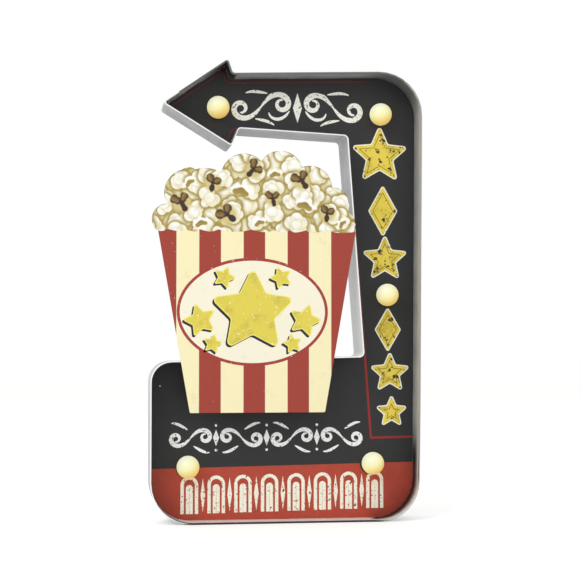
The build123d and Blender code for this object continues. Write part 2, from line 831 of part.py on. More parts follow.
# Keyhole plates behind the top wall, flush with the rear edge, each with a flange welded to the wall
bar_along = (bar_right - neck_top).normalized()
bar_inward = Vector(bar_along.Y, -bar_along.X)
bar_straight = (bar_right - neck_top).length - top_corner_radius
hanger_planes = []
for from_neck in (hanger_left_from_neck, bar_straight - hanger_right_from_round):
    place = neck_top + bar_along * from_neck + bar_inward * wall_sheet
    origin = (place.X, rear_y, place.Y)
    hanger_planes.append(Plane(origin=origin, x_dir=(bar_along.X, 0, bar_along.Y), z_dir=(0, -1, 0)))
with BuildPart() as hangers:
    for plane in hanger_planes:
        with BuildSketch(plane):
            plate = Rectangle(hanger_width, hanger_drop, align=(Align.CENTER, Align.MAX))
            chamfer(plate.vertices().group_by(Axis.Y)[0], length=hanger_corner_bevel)
            with Locations((0, -keyhole_drop)):
                Circle(keyhole_diameter / 2, mode=Mode.SUBTRACT)
                Rectangle(keyhole_slot, keyhole_rise, align=(Align.CENTER, Align.MIN), mode=Mode.SUBTRACT)
            with Locations((0, keyhole_rise - keyhole_drop)):
                Circle(keyhole_slot / 2, mode=Mode.SUBTRACT)
        extrude(amount=hanger_sheet)
        with BuildSketch(plane):
            Rectangle(hanger_width, hanger_sheet, align=(Align.CENTER, Align.MAX))
        extrude(amount=hanger_flange)

pieces = {
    "wall_strip_inner": wall_strip_inner.part,
    "wall_strip_outer": wall_strip_outer.part,
    "seam_strap": seam_strap.part,
    "face_plate": face_plate.part,
    "popcorn_panel": popcorn_panel.part,
    "panel_bracket_left": bracket(box_bottom_left_x + bracket_inset_left, -1),
    "panel_bracket_right": bracket(box_bottom_right_x - bracket_inset_right, 1),
    "globe_caps": globe_caps.part,
    "led_lamps": led_lamps.part,
    "lamp_boards": lamp_boards.part,
    "case_pad": case_pad_foam.part,
    "battery_case": battery_case.part,
    "battery_door": battery_door.part,
    "cell_upper": cell_upper,
    "cell_lower": cell_lower,
    "contact_bridge": contact_bridge.part,
    "contact_plus": contact_plus.part,
    "contact_minus": contact_minus.part,
    "switch_body": switch_body.part,
    "switch_slider": switch_slider.part,
    "switch_terminals": switch_terminals.part,
    "lead_clips": lead_clips.part,
    "hangers": hangers.part,
    **lead_parts,
}

os.makedirs("parts", exist_ok=True)
for name, piece in pieces.items():
    piece.label = name
    export_step(piece, f"parts/{name}.step")
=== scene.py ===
"""Looks of an arrow-shaped sheet-metal sign with five LED globes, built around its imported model.

Everything is in metres in the sign's own frame: x to the right, y away from the viewer, z up from the edge it
stands on. Sizes that read better in millimetres are written as a number times MM or inside mm(), and the
shaders work in millimetres.
"""

from math import pi, radians, tau

import bmesh
import bpy
import numpy as np
from bpy.props import FloatProperty, FloatVectorProperty, IntProperty, PointerProperty
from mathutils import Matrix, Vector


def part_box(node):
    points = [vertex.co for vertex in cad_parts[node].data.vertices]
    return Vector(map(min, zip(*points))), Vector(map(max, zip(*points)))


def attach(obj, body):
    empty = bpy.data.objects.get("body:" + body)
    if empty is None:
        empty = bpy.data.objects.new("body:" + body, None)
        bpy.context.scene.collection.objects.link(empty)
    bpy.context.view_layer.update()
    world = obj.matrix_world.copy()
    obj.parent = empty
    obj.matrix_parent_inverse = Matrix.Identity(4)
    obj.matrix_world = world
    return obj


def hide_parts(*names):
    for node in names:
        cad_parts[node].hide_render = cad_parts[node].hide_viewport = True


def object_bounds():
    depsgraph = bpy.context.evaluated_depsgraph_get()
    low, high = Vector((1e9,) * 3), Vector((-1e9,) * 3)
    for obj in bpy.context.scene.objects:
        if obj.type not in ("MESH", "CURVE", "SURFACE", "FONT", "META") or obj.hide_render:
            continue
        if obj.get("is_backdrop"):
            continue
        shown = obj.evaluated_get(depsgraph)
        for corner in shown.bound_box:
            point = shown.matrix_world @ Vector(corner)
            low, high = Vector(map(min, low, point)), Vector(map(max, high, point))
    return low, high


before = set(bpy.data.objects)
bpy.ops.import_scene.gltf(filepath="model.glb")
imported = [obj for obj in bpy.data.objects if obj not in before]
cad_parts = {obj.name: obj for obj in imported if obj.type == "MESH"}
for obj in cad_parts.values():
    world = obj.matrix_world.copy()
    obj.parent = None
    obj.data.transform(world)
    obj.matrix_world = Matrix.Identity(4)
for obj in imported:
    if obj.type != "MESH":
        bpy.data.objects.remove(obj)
cad_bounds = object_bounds()

bl_info = {
    "name": "Arrow LED sign",
    "version": (1, 0, 0),
    "blender": (4, 5, 0),
    "location": "3D View > Sidebar > LED sign",
    "description": "Dresses the packed model of an arrow-shaped sheet-metal sign with LED globes",
    "category": "Object",
}

MM = 0.001


def mm(*lengths):
    """Array in metres of lengths given in millimetres."""
    return np.array(lengths) * MM


def screen(*steps):
    """Screen values from 0 to 1 of a colour given in steps of 255."""
    return np.array(steps) / 255


# Levels from front to back, taken from the model
PANEL_Y, RIM_Y = (corner.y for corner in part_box("popcorn_panel"))
FACE_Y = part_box("face_plate")[0].y
REAR_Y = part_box("wall_strip_outer")[1].y

# The camera's place in metres, its turns upwards and to the right in degrees, and its sensor's width in
# millimetres
CAMERA_PLACE = (-0.19885, -1.4025, 0.16766)
CAMERA_TURNS = (2.30, 8.26)
SENSOR_WIDTH = 36

# How far a printed layer stands out of what it is printed on, how deep its back is sunk in it, and the share
# of a step by which each pen stroke stands over the one before
INK_STEP = 0.04 * MM
INK_SUNK = 0.1 * MM
STROKE_STEP = 0.12

# Points on the arc of a rounded corner, and along a pen stroke
ARC_POINTS = 9
STROKE_POINTS = 90

# Corners of the outline, clockwise from the arrow's tip: right, up, radius; and the places of its two seams,
# one on the arrow's upper wall and one on the block's
CORNERS = {
    "tip": mm(-122.05, 402.6, 3),
    "barb_top": mm(-58.85, 446.6, 2.5),
    "neck_top": mm(-54.35, 433.0, 3),
    "bar_right": mm(132.732, 439.4, 42),
    "base_right": mm(128.732, 0, 40),
    "base_left": mm(-132.35, 0, 40),
    "shoulder": mm(-132.35, 154.7, 20),
    "window_low": mm(73.332, 159.8, 4),
    "window_high": mm(57.532, 374.0, 4),
    "neck_bottom": mm(-48.25, 379.2, 3),
    "barb_bottom": mm(-55.35, 362.0, 2.5),
}
SEAM_FROM_TIP = 19 * MM
LAP_LENGTH = 12 * MM
BASE_SEAM_X = -30 * MM

# The globes' radius, middles (right, up) and bore for the lamp (radius, depth), the way to their painted
# light, and their glow from a painted highlight on that side through the middle to painted shade on the other
GLOBE_RADIUS = 11.0 * MM
GLOBE_PLACES = {
    "left": mm(-95.0, 53.0),
    "right": mm(86.582, 54.7),
    "column": mm(101.582, 220.2),
    "top": mm(95.232, 399.3),
    "arrow": mm(-66.5, 402.6),
}
GLOBE_BORE = mm(2.6, 8.2)
GLOBE_PAINTED_LIGHT = np.array((-0.42, -0.38, 0.82))
GLOBE_PAINTED_HIGHLIGHT, GLOBE_MIDDLE, GLOBE_PAINTED_SHADE = screen((255, 255, 224), (255, 248, 176), (252, 206, 108))

# The outer and inner radius of the dark ring of painted shade round a globe's foot
RING_RADII = mm(11.7, 7.5)

# The solder domes' radius and height, and how far they lie to each side of a lamp
SOLDER_DOME = mm(1.15, 0.9)
LAMP_PIN = 1.27 * MM

# Gold ornaments down the column in millimetres: right, up, a star's radius or a diamond's width and height,
# and how much their corners are rounded
COLUMN_ORNAMENTS = [
    (95.8, 359.0, (29,), 1.4),
    (98.9, 304.0, (27, 48), 0.8),
    (100.9, 256.0, (23,), 1.1),
    (103.6, 186.0, (24, 41), 0.7),
    (105.6, 143.0, (20,), 1.0),
    (107.2, 104.5, (15.5,), 0.8),
]

# The red line from the block up the column (right, up), how far inside the outline the border line lies, and
# how far before the bar's right corner it ends
COLUMN_LINE = mm((130.6, 80.1), (86.3, 79.2), (80.7, 156.2), (64.6, 366.0))
BORDER_INSET = 3.9 * MM
BORDER_END = 46 * MM

# Pen strokes beside the bar's and the block's scrolls: right and up from the middle in millimetres, heading
# in degrees, length in millimetres, bend at the start and at the end per metre, and width in millimetres
BAR_MIDDLE = mm(13.0, 406.0)
BAR_CURLS = [
    (8, 1.5, 62, 30, -25, -130, 3.6),
    (8, -4, -58, 27, 30, 150, 3.2),
    (30, 13, 8, 22, 10, -60, 3.0),
    (42, -12.5, 190, 20, -10, 60, 3.0),
]
BLOCK_LEVEL = 80.5 * MM
BLOCK_CURLS = [(3, 8, 30, 17, 20, -90, 2.8), (-3, -8, 210, 17, 20, -90, 2.8)]

# The red band's upright arches: half width, top and foot; their stroke, and the row's height with its rise
BAND_ARCHES = mm((8.6, 18.5, -18), (3.4, 10, -18))
ARCH_STROKE = 3.3 * MM
BAND_LEVEL = 26.6 * MM
BAND_RISE = 0.017

# The panel's box, clockwise from its top left corner, with its top under the heap: right, up, radius
BOX_OUTLINE = mm(
    (-125.7, 279.6, 0.3),
    (-125.9, 281.8, 0.3),
    (64.0, 281.8, 0.3),
    (65.3, 279.6, 0.3),
    (35.2, 106.0, 1.5),
    (-95.1, 106.0, 1.5),
)
BOX_CORNER = BOX_OUTLINE[0, :2]

# The box's front lies a little behind the heap's
BOX_FRONT_Y = PANEL_Y + 0.22 * MM

# The oval's middle and half widths, and its stars in millimetres from there: right, up, radius, and turn in
# radians
OVAL_MIDDLE, OVAL_HALF = mm((-34.9, 202.4), (72.1, 51.1))
OVAL_STARS = [(0, 0, 44, 0), (50.5, -8, 17.5, -0.3), (27.5, 33, 12, 0.35), (38.5, -30.5, 10.5, 0.2)]
OVAL_STARS += [(-right, up, radius, -turn) for right, up, radius, turn in OVAL_STARS[1:]]

# The popcorn's lobes from the box's top left corner: right, up, radius
POPCORN_LOBES = mm(
    (8.7, 11.1, 14.6),
    (28.1, 36.6, 22.4),
    (29.2, 51.4, 9.6),
    (44.9, 28.0, 32.4),
    (82.5, 52.4, 22.6),
    (117.7, 56.5, 21.9),
    (146.7, 43.0, 21.4),
    (169.2, 27.8, 15.7),
    (173.6, 7.5, 17.2),
)

# Screen colours of the popcorn's paint
POPCORN_WHITE = screen(255, 254, 250)
POPCORN_CREAM = screen(246, 242, 222)
POPCORN_WARM = screen(240, 230, 184)
POPCORN_TAN = screen(214, 198, 136)
POPCORN_OLIVE = screen(168, 146, 72)
POPCORN_HULL = screen(138, 108, 56)
POPCORN_HUSK = screen(62, 46, 42)
# Painted shade along the sheet's edge round the heap
POPCORN_EDGE_SHADE = screen(84, 80, 76)

# Husks and hollows in millimetres from the box's top left corner: right, up, turn in radians, then a husk's
# scale or a hollow's half length
POPCORN_HUSKS = [
    (22, 27, 1.9, 1.3),
    (52, 46, 1.2, 1.15),
    (66, 16, 2.3, 1.35),
    (91, 60, 0.7, 1.2),
    (110, 32, 1.6, 1.05),
    (138, 50, 2.0, 1.3),
    (163, 18, 1.3, 1.1),
]
POPCORN_HOLLOWS = [
    (41, 7, 0.3, 7.0),
    (79, 38, -0.25, 9.5),
    (97, 8, 0.4, 6.0),
    (112, 55, 0.2, 6.5),
    (141, 25, -0.3, 9.0),
    (30, 46, 0.7, 6.0),
    (178, 8, 0.9, 5.5),
]

# A hollow's three discs (along, aside, radius) in half lengths, and a husk's three petals: turn in radians,
# length and width in millimetres
HOLLOW_DISCS = ((-0.52, -0.08, 0.36), (0.02, 0.12, 0.42), (0.55, -0.1, 0.33))
HUSK_PETALS = ((0.8, 9.5, 4.6), (-0.75, 8.6, 4.2), (pi + 0.2, 8.2, 3.0))


def linear(values):
    """Linear values of an array of screen values from 0 to 1, by the sRGB curve."""
    return np.where(values <= 0.04045, values / 12.92, ((values + 0.055) / 1.055) ** 2.4)


def srgb(*steps):
    """Linear colour of a screen colour given in steps of 255."""
    return tuple(linear(screen(*steps)).tolist())


def colour_property(name, description, *steps):
    """Colour setting with its default given as a screen colour."""
    return FloatVectorProperty(
        name=name, description=description, subtype="COLOR", min=0, max=1, default=srgb(*steps)
    )


def length_property(name, description, millimetres):
    """Length setting with its default given in millimetres."""
    return FloatProperty(name=name, description=description, default=millimetres * MM, unit="LENGTH")


class WallSettings(bpy.types.PropertyGroup):
    """Sizes of the bent walls."""

    sheet: length_property("Sheet", "Thickness of the sheet metal", 0.8)
    hem_width: length_property("Hem width", "Width of the folded front rim", 1.9)
    hem_depth: length_property("Hem depth", "Length of the sheet folded back inside", 6)


class PrintSettings(bpy.types.PropertyGroup):
    """Colours and sizes of the prints."""

    charcoal: colour_property("Charcoal", "Ground of the face", 47, 47, 48)
    band_red: colour_property("Band red", "Band across the foot of the face", 188, 75, 56)
    stripe_red: colour_property("Stripe red", "Stripes of the box", 163, 66, 53)
    cream: colour_property("Cream", "Ground of the box", 254, 244, 197)
    oval: colour_property("Oval", "Ground of the oval on the box", 252, 246, 222)
    gold: colour_property("Gold", "Ornaments down the column", 242, 218, 84)
    yellow: colour_property("Yellow", "Stars on the oval", 228, 211, 80)
    navy: colour_property("Navy", "Shadows beside the stars and rings round the globes", 24, 28, 44)
    line_red: colour_property("Line red", "Line at the column's foot", 150, 44, 40)
    edge_width: length_property("Edge width", "Light edge round the gold ornaments", 1.2)
    line_width: length_property("Line width", "Width of the red line at the column's foot", 2.2)
    border_width: length_property("Border width", "Width of the dark red line along the walls", 1.5)
    stripe_width: length_property("Stripe width", "Width of one stripe of the box", 21.3)


class PopcornSettings(bpy.types.PropertyGroup):
    """How the popcorn is painted."""

    flake: length_property("Flake", "Spacing of the painted flakes", 15.5)
    paint_step: length_property("Paint step", "Spacing of the painted points", 0.58)
    seed: IntProperty(name="Seed", description="Start of the random placing", default=11)


class StageSettings(bpy.types.PropertyGroup):
    """Light and camera."""

    key_power: FloatProperty(
        name="Key power", description="Large light at the upper left", default=16.0, unit="POWER"
    )
    fill_power: FloatProperty(
        name="Fill power", description="Soft lights from the right and from behind", default=2.2, unit="POWER"
    )
    sky: FloatProperty(name="Sky", description="Strength of the even light all round", default=0.74)
    lens: FloatProperty(name="Lens", description="Focal length in millimetres", default=89.8)


# Meshes


def unit(vectors):
    """The vectors at length 1."""
    return vectors / np.linalg.norm(vectors, axis=-1, keepdims=True)


def circle(angle):
    """Points (cos, sin) of the unit circle, one for each angle."""
    return np.stack((np.cos(angle), np.sin(angle)), -1)


def inward_of(heading):
    """Unit vectors to the right of the headings, which is inwards on a clockwise outline."""
    return heading[..., ::-1] * (1, -1)


def standing(flat, y):
    """Points (x, z) put at depth y."""
    return np.stack((flat[..., 0], np.broadcast_to(y, flat.shape[:-1]), flat[..., 1]), -1)


def grid_faces(rows, columns, closed_rows=False, closed_columns=False):
    """Quads over a grid of points numbered row by row; a closed way joins its last line to its first."""
    row = np.arange(rows if closed_rows else rows - 1)[:, None]
    column = np.arange(columns if closed_columns else columns - 1)
    steps = ((0, 0), (0, 1), (1, 1), (1, 0))
    corners = [(row + down) % rows * columns + (column + along) % columns for down, along in steps]
    return np.stack(corners, -1).reshape(-1, 4)


def mesh_points(mesh):
    """The mesh's points, one row each."""
    points = np.empty(len(mesh.vertices) * 3)
    mesh.vertices.foreach_get("co", points)
    return points.reshape(-1, 3)


def made_mesh(name, points, faces, merge_distance, mend, smooth, marks=None):
    """Mesh with its doubles merged, mended, and smooth but for edges that turn by more than smooth degrees.

    marks holds an attribute's name and its value at each point.
    """
    mesh = bpy.data.meshes.new(name)
    mesh.from_pydata(points.tolist(), [], faces)
    if marks:
        layer, values = marks
        mesh.attributes.new(layer, "FLOAT", "POINT").data.foreach_set("value", values)
    work = bmesh.new()
    work.from_mesh(mesh)
    bmesh.ops.remove_doubles(work, verts=work.verts, dist=merge_distance)
    mend(work)
    work.to_mesh(mesh)
    work.free()
    mesh.shade_smooth()
    mesh.set_sharp_from_angle(angle=radians(smooth))
    return mesh


def linked(name, data):
    """Object for a mesh, light or camera, put into the scene."""
    made = bpy.data.objects.new(name, data)
    bpy.context.scene.collection.objects.link(made)
    return made


def placed(name, mesh, finish_name, body="sign"):
    """Object for a finished mesh, with its material and the body it rides on."""
    made = linked(name, mesh)
    mesh.materials.append(finish(finish_name))
    SLOTS.get(finish_name, finish_name)
    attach(made, body)
    return made


def piece(name, parts, finish_name, marks=None):
    """One piece from (points, faces) parts, with its faces turned outwards."""
    points = [part_points.reshape(-1, 3) for part_points, _ in parts]
    starts = np.cumsum([0] + [len(part_points) for part_points in points])
    faces = []
    for (_, part_faces), start in zip(parts, starts):
        faces += [np.add(face, start).tolist() for face in part_faces]

    def outwards(work):
        bmesh.ops.recalc_face_normals(work, faces=work.faces)

    mesh = made_mesh(name, np.concatenate(points), faces, 0.0001 * MM, outwards, smooth=35, marks=marks)
    return placed(name, mesh, finish_name)


def softened(node, finish_name, width, body="sign", smooth=40):
    """Copy of a CAD piece with its triangles merged into faces and its edges rounded by some millimetres."""
    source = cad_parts[node].data
    corners = np.empty(len(source.loops), int)
    source.loops.foreach_get("vertex_index", corners)

    def merged_faces(work):
        bmesh.ops.dissolve_limit(work, angle_limit=radians(1), verts=work.verts, edges=work.edges)

    name = node + "_shown"
    faces = corners.reshape(-1, 3).tolist()
    mesh = made_mesh(name, mesh_points(source), faces, 0.001 * MM, merged_faces, smooth)
    made = placed(name, mesh, finish_name, body)
    if width:
        bevel = made.modifiers.new("Rounded edges", "BEVEL")
        bevel.width = width * MM
        bevel.segments = 2
        bevel.limit_method = "ANGLE"
        bevel.angle_limit = radians(smooth)
    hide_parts(node)


def rounded(points, radii, per_arc=ARC_POINTS):
    """Points and headings round a closed outline whose corners are arcs.

    Where the heading turns by a at a corner with radius r, the arc starts r tan(a/2) before the corner. At
    the share t of the turn it has gone r sin(ta) along the old heading and r (1 - cos(ta)) to the side it
    turns to.
    """
    ahead = unit(np.roll(points, -1, 0) - points)
    behind = np.roll(ahead, 1, 0)
    left = -inward_of(behind)
    turn = np.arctan2((left * ahead).sum(1), (behind * ahead).sum(1))
    angle = (turn[:, None] * np.linspace(0, 1, per_arc))[..., None]
    start = points - behind * (radii * np.tan(np.abs(turn) / 2))[:, None]
    side = np.sign(turn)[:, None, None]
    along, aside = np.sin(np.abs(angle)), (1 - np.cos(angle)) * side
    place = start[:, None] + radii[:, None, None] * (along * behind[:, None] + aside * left[:, None])
    heading = np.cos(angle) * behind[:, None] + np.sin(angle) * left[:, None]
    return place.reshape(-1, 2), heading.reshape(-1, 2)


def tube(points):
    """Solid over rows of points, each row a closed loop, with the first and the last row as its ends."""
    rows, columns = points.shape[:2]
    last = rows * columns - 1
    ends = [list(range(columns)), list(range(last, last - columns, -1))]
    return points, [*grid_faces(rows, columns, closed_columns=True), *ends]


def slab(outline, front, back):
    """Flat solid between two depths inside a closed outline."""
    return tube(np.stack((standing(outline, front), standing(outline, back))))


def band(outer, inner, front, back, closed=True):
    """Flat solid between two outlines with the same number of points, or along a ribbon's two sides."""
    loops = [standing(outer, front), standing(inner, front), standing(inner, back), standing(outer, back)]
    faces = grid_faces(4, len(outer), closed_rows=True, closed_columns=closed)
    ends = [] if closed else [[len(outer) * k + end for k in range(4)] for end in (0, len(outer) - 1)]
    return np.concatenate(loops), [*faces, *ends]


def turned(profile, middle, y, steps):
    """Surface of a profile (radius, height) turned about an axis to the viewer from (x, z) at depth y."""
    angle = np.linspace(0, tau, steps, endpoint=False)
    flat = middle + profile[:, :1] * circle(angle)[:, None]
    return standing(flat, y - profile[:, 1]), grid_faces(steps, len(profile), closed_rows=True)


# Shader writing


def arithmetic(operation, reflected=False):
    """Operator that puts a wire and another value into a Math node, the wire second where it is reflected."""

    def operator(wire, other):
        values = (other, wire) if reflected else (wire, other)
        return wire.shader.math(operation, *values)

    return operator


class Wire:
    """A shader socket's value, which can be used in arithmetic."""

    def __init__(self, shader, socket):
        self.shader = shader
        self.socket = socket

    __add__ = __radd__ = arithmetic("ADD")
    __sub__ = arithmetic("SUBTRACT")
    __rsub__ = arithmetic("SUBTRACT", reflected=True)
    __mul__ = __rmul__ = arithmetic("MULTIPLY")
    __truediv__ = arithmetic("DIVIDE")
    __gt__ = arithmetic("GREATER_THAN")
    __lt__ = arithmetic("LESS_THAN")


class Shader:
    """The nodes of one material or world, written as expressions, with lengths in millimetres.

    A colour is a wire, three steps of 255 or the name of a print setting. The last two may come in a pair
    with a factor that makes the colour darker or lighter.
    """

    def __init__(self, owner, surface="Principled BSDF"):
        owner.use_nodes = True
        self.tree = owner.node_tree
        self.surface = self.tree.nodes[surface]
        self.settings = bpy.context.scene.led_sign_print

    def node(self, kind, settings=(), inputs=(), output=0):
        """Any node: its type, its settings, then the values or links of its sockets."""
        made = self.tree.nodes.new(kind)
        for name, value in dict(settings).items():
            setattr(made, name, value)
        for key, value in dict(inputs).items():
            self.put(made.inputs[key], value)
        return Wire(self, made.outputs[output])

    def put(self, socket, value):
        """Link a wire to a socket, or set the socket's own value."""
        if isinstance(value, Wire):
            self.tree.links.new(value.socket, socket)
        elif socket.type == "RGBA":
            socket.default_value = (*self.tone(value), 1.0)
        else:
            socket.default_value = value

    def tone(self, colour):
        """Linear values of a colour that is no wire."""
        colour, factor = colour if len(colour) == 2 else (colour, 1.0)
        channels = getattr(self.settings, colour) if isinstance(colour, str) else srgb(*colour)
        return [min(1.0, channel * factor) for channel in channels]

    def feed(self, **values):
        """Values or links of the surface's own sockets, each named with underscores for its spaces."""
        for name, value in values.items():
            self.put(self.surface.inputs[name.replace("_", " ")], value)

    def math(self, operation, first, second=0.0):
        """Result of one operation on two values."""
        return self.node("ShaderNodeMath", {"operation": operation}, {0: first, 1: second})

    def limited(self, value):
        """The value held between 0 and 1."""
        return self.node("ShaderNodeClamp", {}, {"Value": value})

    def step(self, value, start, end):
        """Smooth rise from 0 at start to 1 at end."""
        settings = {"interpolation_type": "SMOOTHSTEP"}
        return self.node("ShaderNodeMapRange", settings, {"Value": value, "From Min": start, "From Max": end})

    def mix(self, factor, first, second):
        """Colour between the first, at factor 0, and the second, at factor 1."""
        inputs = {"Factor": factor, 6: first, 7: second}
        return self.node("ShaderNodeMix", {"data_type": "RGBA"}, inputs, output=2)

    def coats(self, ground, *coats):
        """The ground under coats, each a mask and a colour, laid one over the other."""
        for mask, colour in coats:
            ground = self.mix(mask, ground, colour)
        return ground

    def attribute(self, name, output="Color"):
        """A value or colour stored on the mesh."""
        return self.node("ShaderNodeAttribute", {"attribute_name": name}, output=output)

    def place(self):
        """The point's x, y and z in the sign's frame."""
        inputs = {0: self.node("ShaderNodeTexCoord", output="Object")}
        return [self.node("ShaderNodeSeparateXYZ", {}, inputs, axis) * (1 / MM) for axis in range(3)]

    def noise(self, size, detail=2.0, roughness=0.6):
        """Cloudy values about 0.5 whose patches are about the given size."""
        coordinates = self.node("ShaderNodeTexCoord", output="Object")
        inputs = {"Vector": coordinates, "Scale": 1 / (size * MM), "Detail": detail, "Roughness": roughness}
        return self.node("ShaderNodeTexNoise", {}, inputs)

    def chips(self, size, level):
        """1 in scattered worn spots of about the given size, 0 elsewhere; a higher level leaves fewer."""
        return self.step(self.noise(size, 4.0), level, level + 0.015)

    def bump(self, height, distance):
        """Raise the surface by a height between 0 and 1 times the distance."""
        inputs = {"Strength": 0.6, "Distance": distance * MM, "Height": height}
        self.feed(Normal=self.node("ShaderNodeBump", {}, inputs))


# Finishes

# Roughness and shine of most prints
PRINTED = {"Roughness": 0.5, "Specular_IOR_Level": 0.3}


def zinc_clouds(shader):
    """Grey of zinc-coated sheet with soft cloudy patches and a fine raised grain, and the patches alone."""
    clouds = shader.noise(22, 3.0)
    grain = shader.noise(1.1)
    shader.bump(grain, 0.025)
    amount = shader.limited(clouds * 1.4 + grain * 0.5 - 0.45)
    return shader.mix(amount, (138, 140, 144), (194, 196, 198)), clouds


def make_galvanised(shader):
    """Zinc-coated sheet."""
    zinc, clouds = zinc_clouds(shader)
    shader.feed(Base_Color=zinc, Metallic=0.25, Roughness=clouds * 0.25 + 0.32)


def make_wall(shader):
    """Galvanised wall with painted light and shade.

    The inside is painted lighter towards the front as painted light and darker next to the face as painted
    shade.
    The rim has a painted highlight outside and a painted shadow line inside. Along the top and the right,
    where the light doesn't reach the rim, it is painted grey as shade. Under the sign it is painted dark as
    shade. The inside has painted shade in the arrow's upper corner, in the top right corner and, next to the
    face, in the lower right. The outside has painted light on the block's left and towards the foot of the
    window's right wall.
    """
    zinc, clouds = zinc_clouds(shader)
    step = shader.step
    x, y, z = shader.place()
    inset = shader.attribute("inset", "Fac") * (1 / MM)
    rim_y, face_y = RIM_Y / MM, FACE_Y / MM
    tip_x, tip_z, _ = (CORNERS["tip"] / MM).tolist()
    barb_x, barb_z, _ = (CORNERS["barb_top"] / MM).tolist()
    above_tip = z - (x - tip_x) * ((barb_z - tip_z) / (barb_x - tip_x))
    on_arrow = (above_tip > tip_z - 3.5) * (x < -60)
    before_face = y < face_y
    deep = step(y, rim_y - 4, face_y)
    neck = (x > -61) * (x < -50) * (z > 431)
    beside_face = step(y, rim_y + 6, face_y - 9) * before_face
    # Inside, painted light and shade: lighter towards the front and darker next to the face, the front's
    # light taken back under the top wall as painted shade, a painted highlight low down at the foot, and
    # painted shade in the arrow's upper corner, the top right corner and, beside the face, the lower right
    inner = shader.coats(
        shader.mix(deep, (226, 224, 216), zinc),
        (step(z, 400, 424) * (1 - deep), zinc),
        ((z < 2.5) * before_face, (244, 242, 236)),
        (shader.math("MAXIMUM", neck, on_arrow * step(x, -92, -62)) * before_face, (58, 58, 56)),
        (step(x, 66, 104) * step(z, 392, 418) * 0.6 * before_face, (36, 36, 36)),
        (step(x, 82, 90) * step(z, 100, 60) * beside_face, (34, 34, 36)),
    )
    # Outside, painted light: paler on the block's left and towards the foot of the window's right wall
    outside = shader.coats(
        zinc,
        (step(x, -112, -130) * 0.5, (226, 228, 230)),
        ((x > 40) * (x < 80) * step(z, 330, 160) * 0.75, (232, 232, 229)),
    )
    # Rim: a painted highlight outside and a painted shadow line inside; painted shade along the arrow's upper
    # edge but for a painted highlight near the tip; grey painted shade to the lower right, on the right and
    # along the top; dark painted shade under the sign
    rim = shader.coats(
        shader.mix(step(inset, 0.9, 1.15), (254, 253, 250), (34, 34, 36)),
        (on_arrow, (92, 91, 86)),
        (on_arrow * (x < tip_x + 16), (246, 245, 240)),
        (step(x - z, 80, 100), (206, 204, 196)),
        (step(x, 110, 118) * step(z, 30, 80), (158, 156, 150)),
        (step(z, 424, 432) * (x > -60), (112, 112, 112)),
        (z < 1.25, (36, 36, 38)),
    )
    front = step(y, rim_y + 1.5, rim_y + 0.6)
    colour = shader.mix(front, shader.mix(inset > 0.5, outside, inner), rim)
    shader.feed(Base_Color=colour, Metallic=0.25 * (1 - front), Roughness=clouds * 0.25 + 0.32)


def make_printed_face(shader):
    """Charcoal print with a red band at the foot, on sheet metal that is bare behind."""
    x, y, z = shader.place()
    grain = shader.noise(0.7, roughness=0.7)
    charcoal = shader.mix(grain, ("charcoal", 0.72), ("charcoal", 1.28))
    mottle = shader.noise(9, 4.0, 0.65) * 0.7 + grain * 0.3
    red = shader.mix(mottle, ("band_red", 0.68), ("band_red", 1.22))
    # Painted shade: the red darkens towards the foot's round corners, beside the walls
    corner = shader.math("MAXIMUM", shader.math("ABSOLUTE", x) - 70, 0.0) * 0.85
    from_foot = shader.math("MAXIMUM", 34 - z, 0.0)
    red = shader.mix(shader.step(corner + from_foot, 14, 78) * 0.4, red, ("band_red", 0.36))
    band_top = x * (4.4 / 262) + 53.0
    # One pale speck left of the box's foot
    speck_x, speck_z = x + 121.8, z - 130.9
    speck = (speck_x * speck_x + speck_z * speck_z) < 0.8**2
    paint = shader.coats(charcoal, (z < band_top, red), (speck, (225, 220, 200)))
    bare = y > FACE_Y / MM + 0.2
    zinc = shader.mix(shader.noise(22, 3.0), (132, 134, 138), (184, 186, 188))
    colour = shader.mix(bare, paint, zinc)
    shader.feed(Base_Color=colour, Metallic=bare * 0.25, **PRINTED)


def worn_print(colour, wear_size, level, ground="charcoal"):
    """Maker of a flat print in one colour, chipped through to its ground."""

    def make(shader):
        paint = shader.mix(shader.noise(7, 3.0), (colour, 0.95), (colour, 1.1))
        shader.feed(Base_Color=shader.mix(shader.chips(wear_size, level), paint, ground), **PRINTED)

    return make


def make_gold(shader):
    """Gold print with olive clouds and dark chips."""
    clouds = shader.step(shader.noise(16, 4.0), 0.42, 0.72)
    worn = shader.math("MAXIMUM", shader.chips(6.5, 0.6), shader.chips(2.4, 0.645))
    paint = shader.coats(
        shader.mix(clouds, ("gold", 1.08), ("gold", 0.66)),
        (shader.noise(1.2) * 0.22, ("gold", 0.5)),
        (worn, "charcoal"),
    )
    shader.feed(Base_Color=paint, **PRINTED)


def bare_behind(shader, depth, paint):
    """The paint on the panel's front, and bare zinc on its edges and back."""
    return shader.mix(depth > PANEL_Y / MM + 0.35, paint, zinc_clouds(shader)[0])


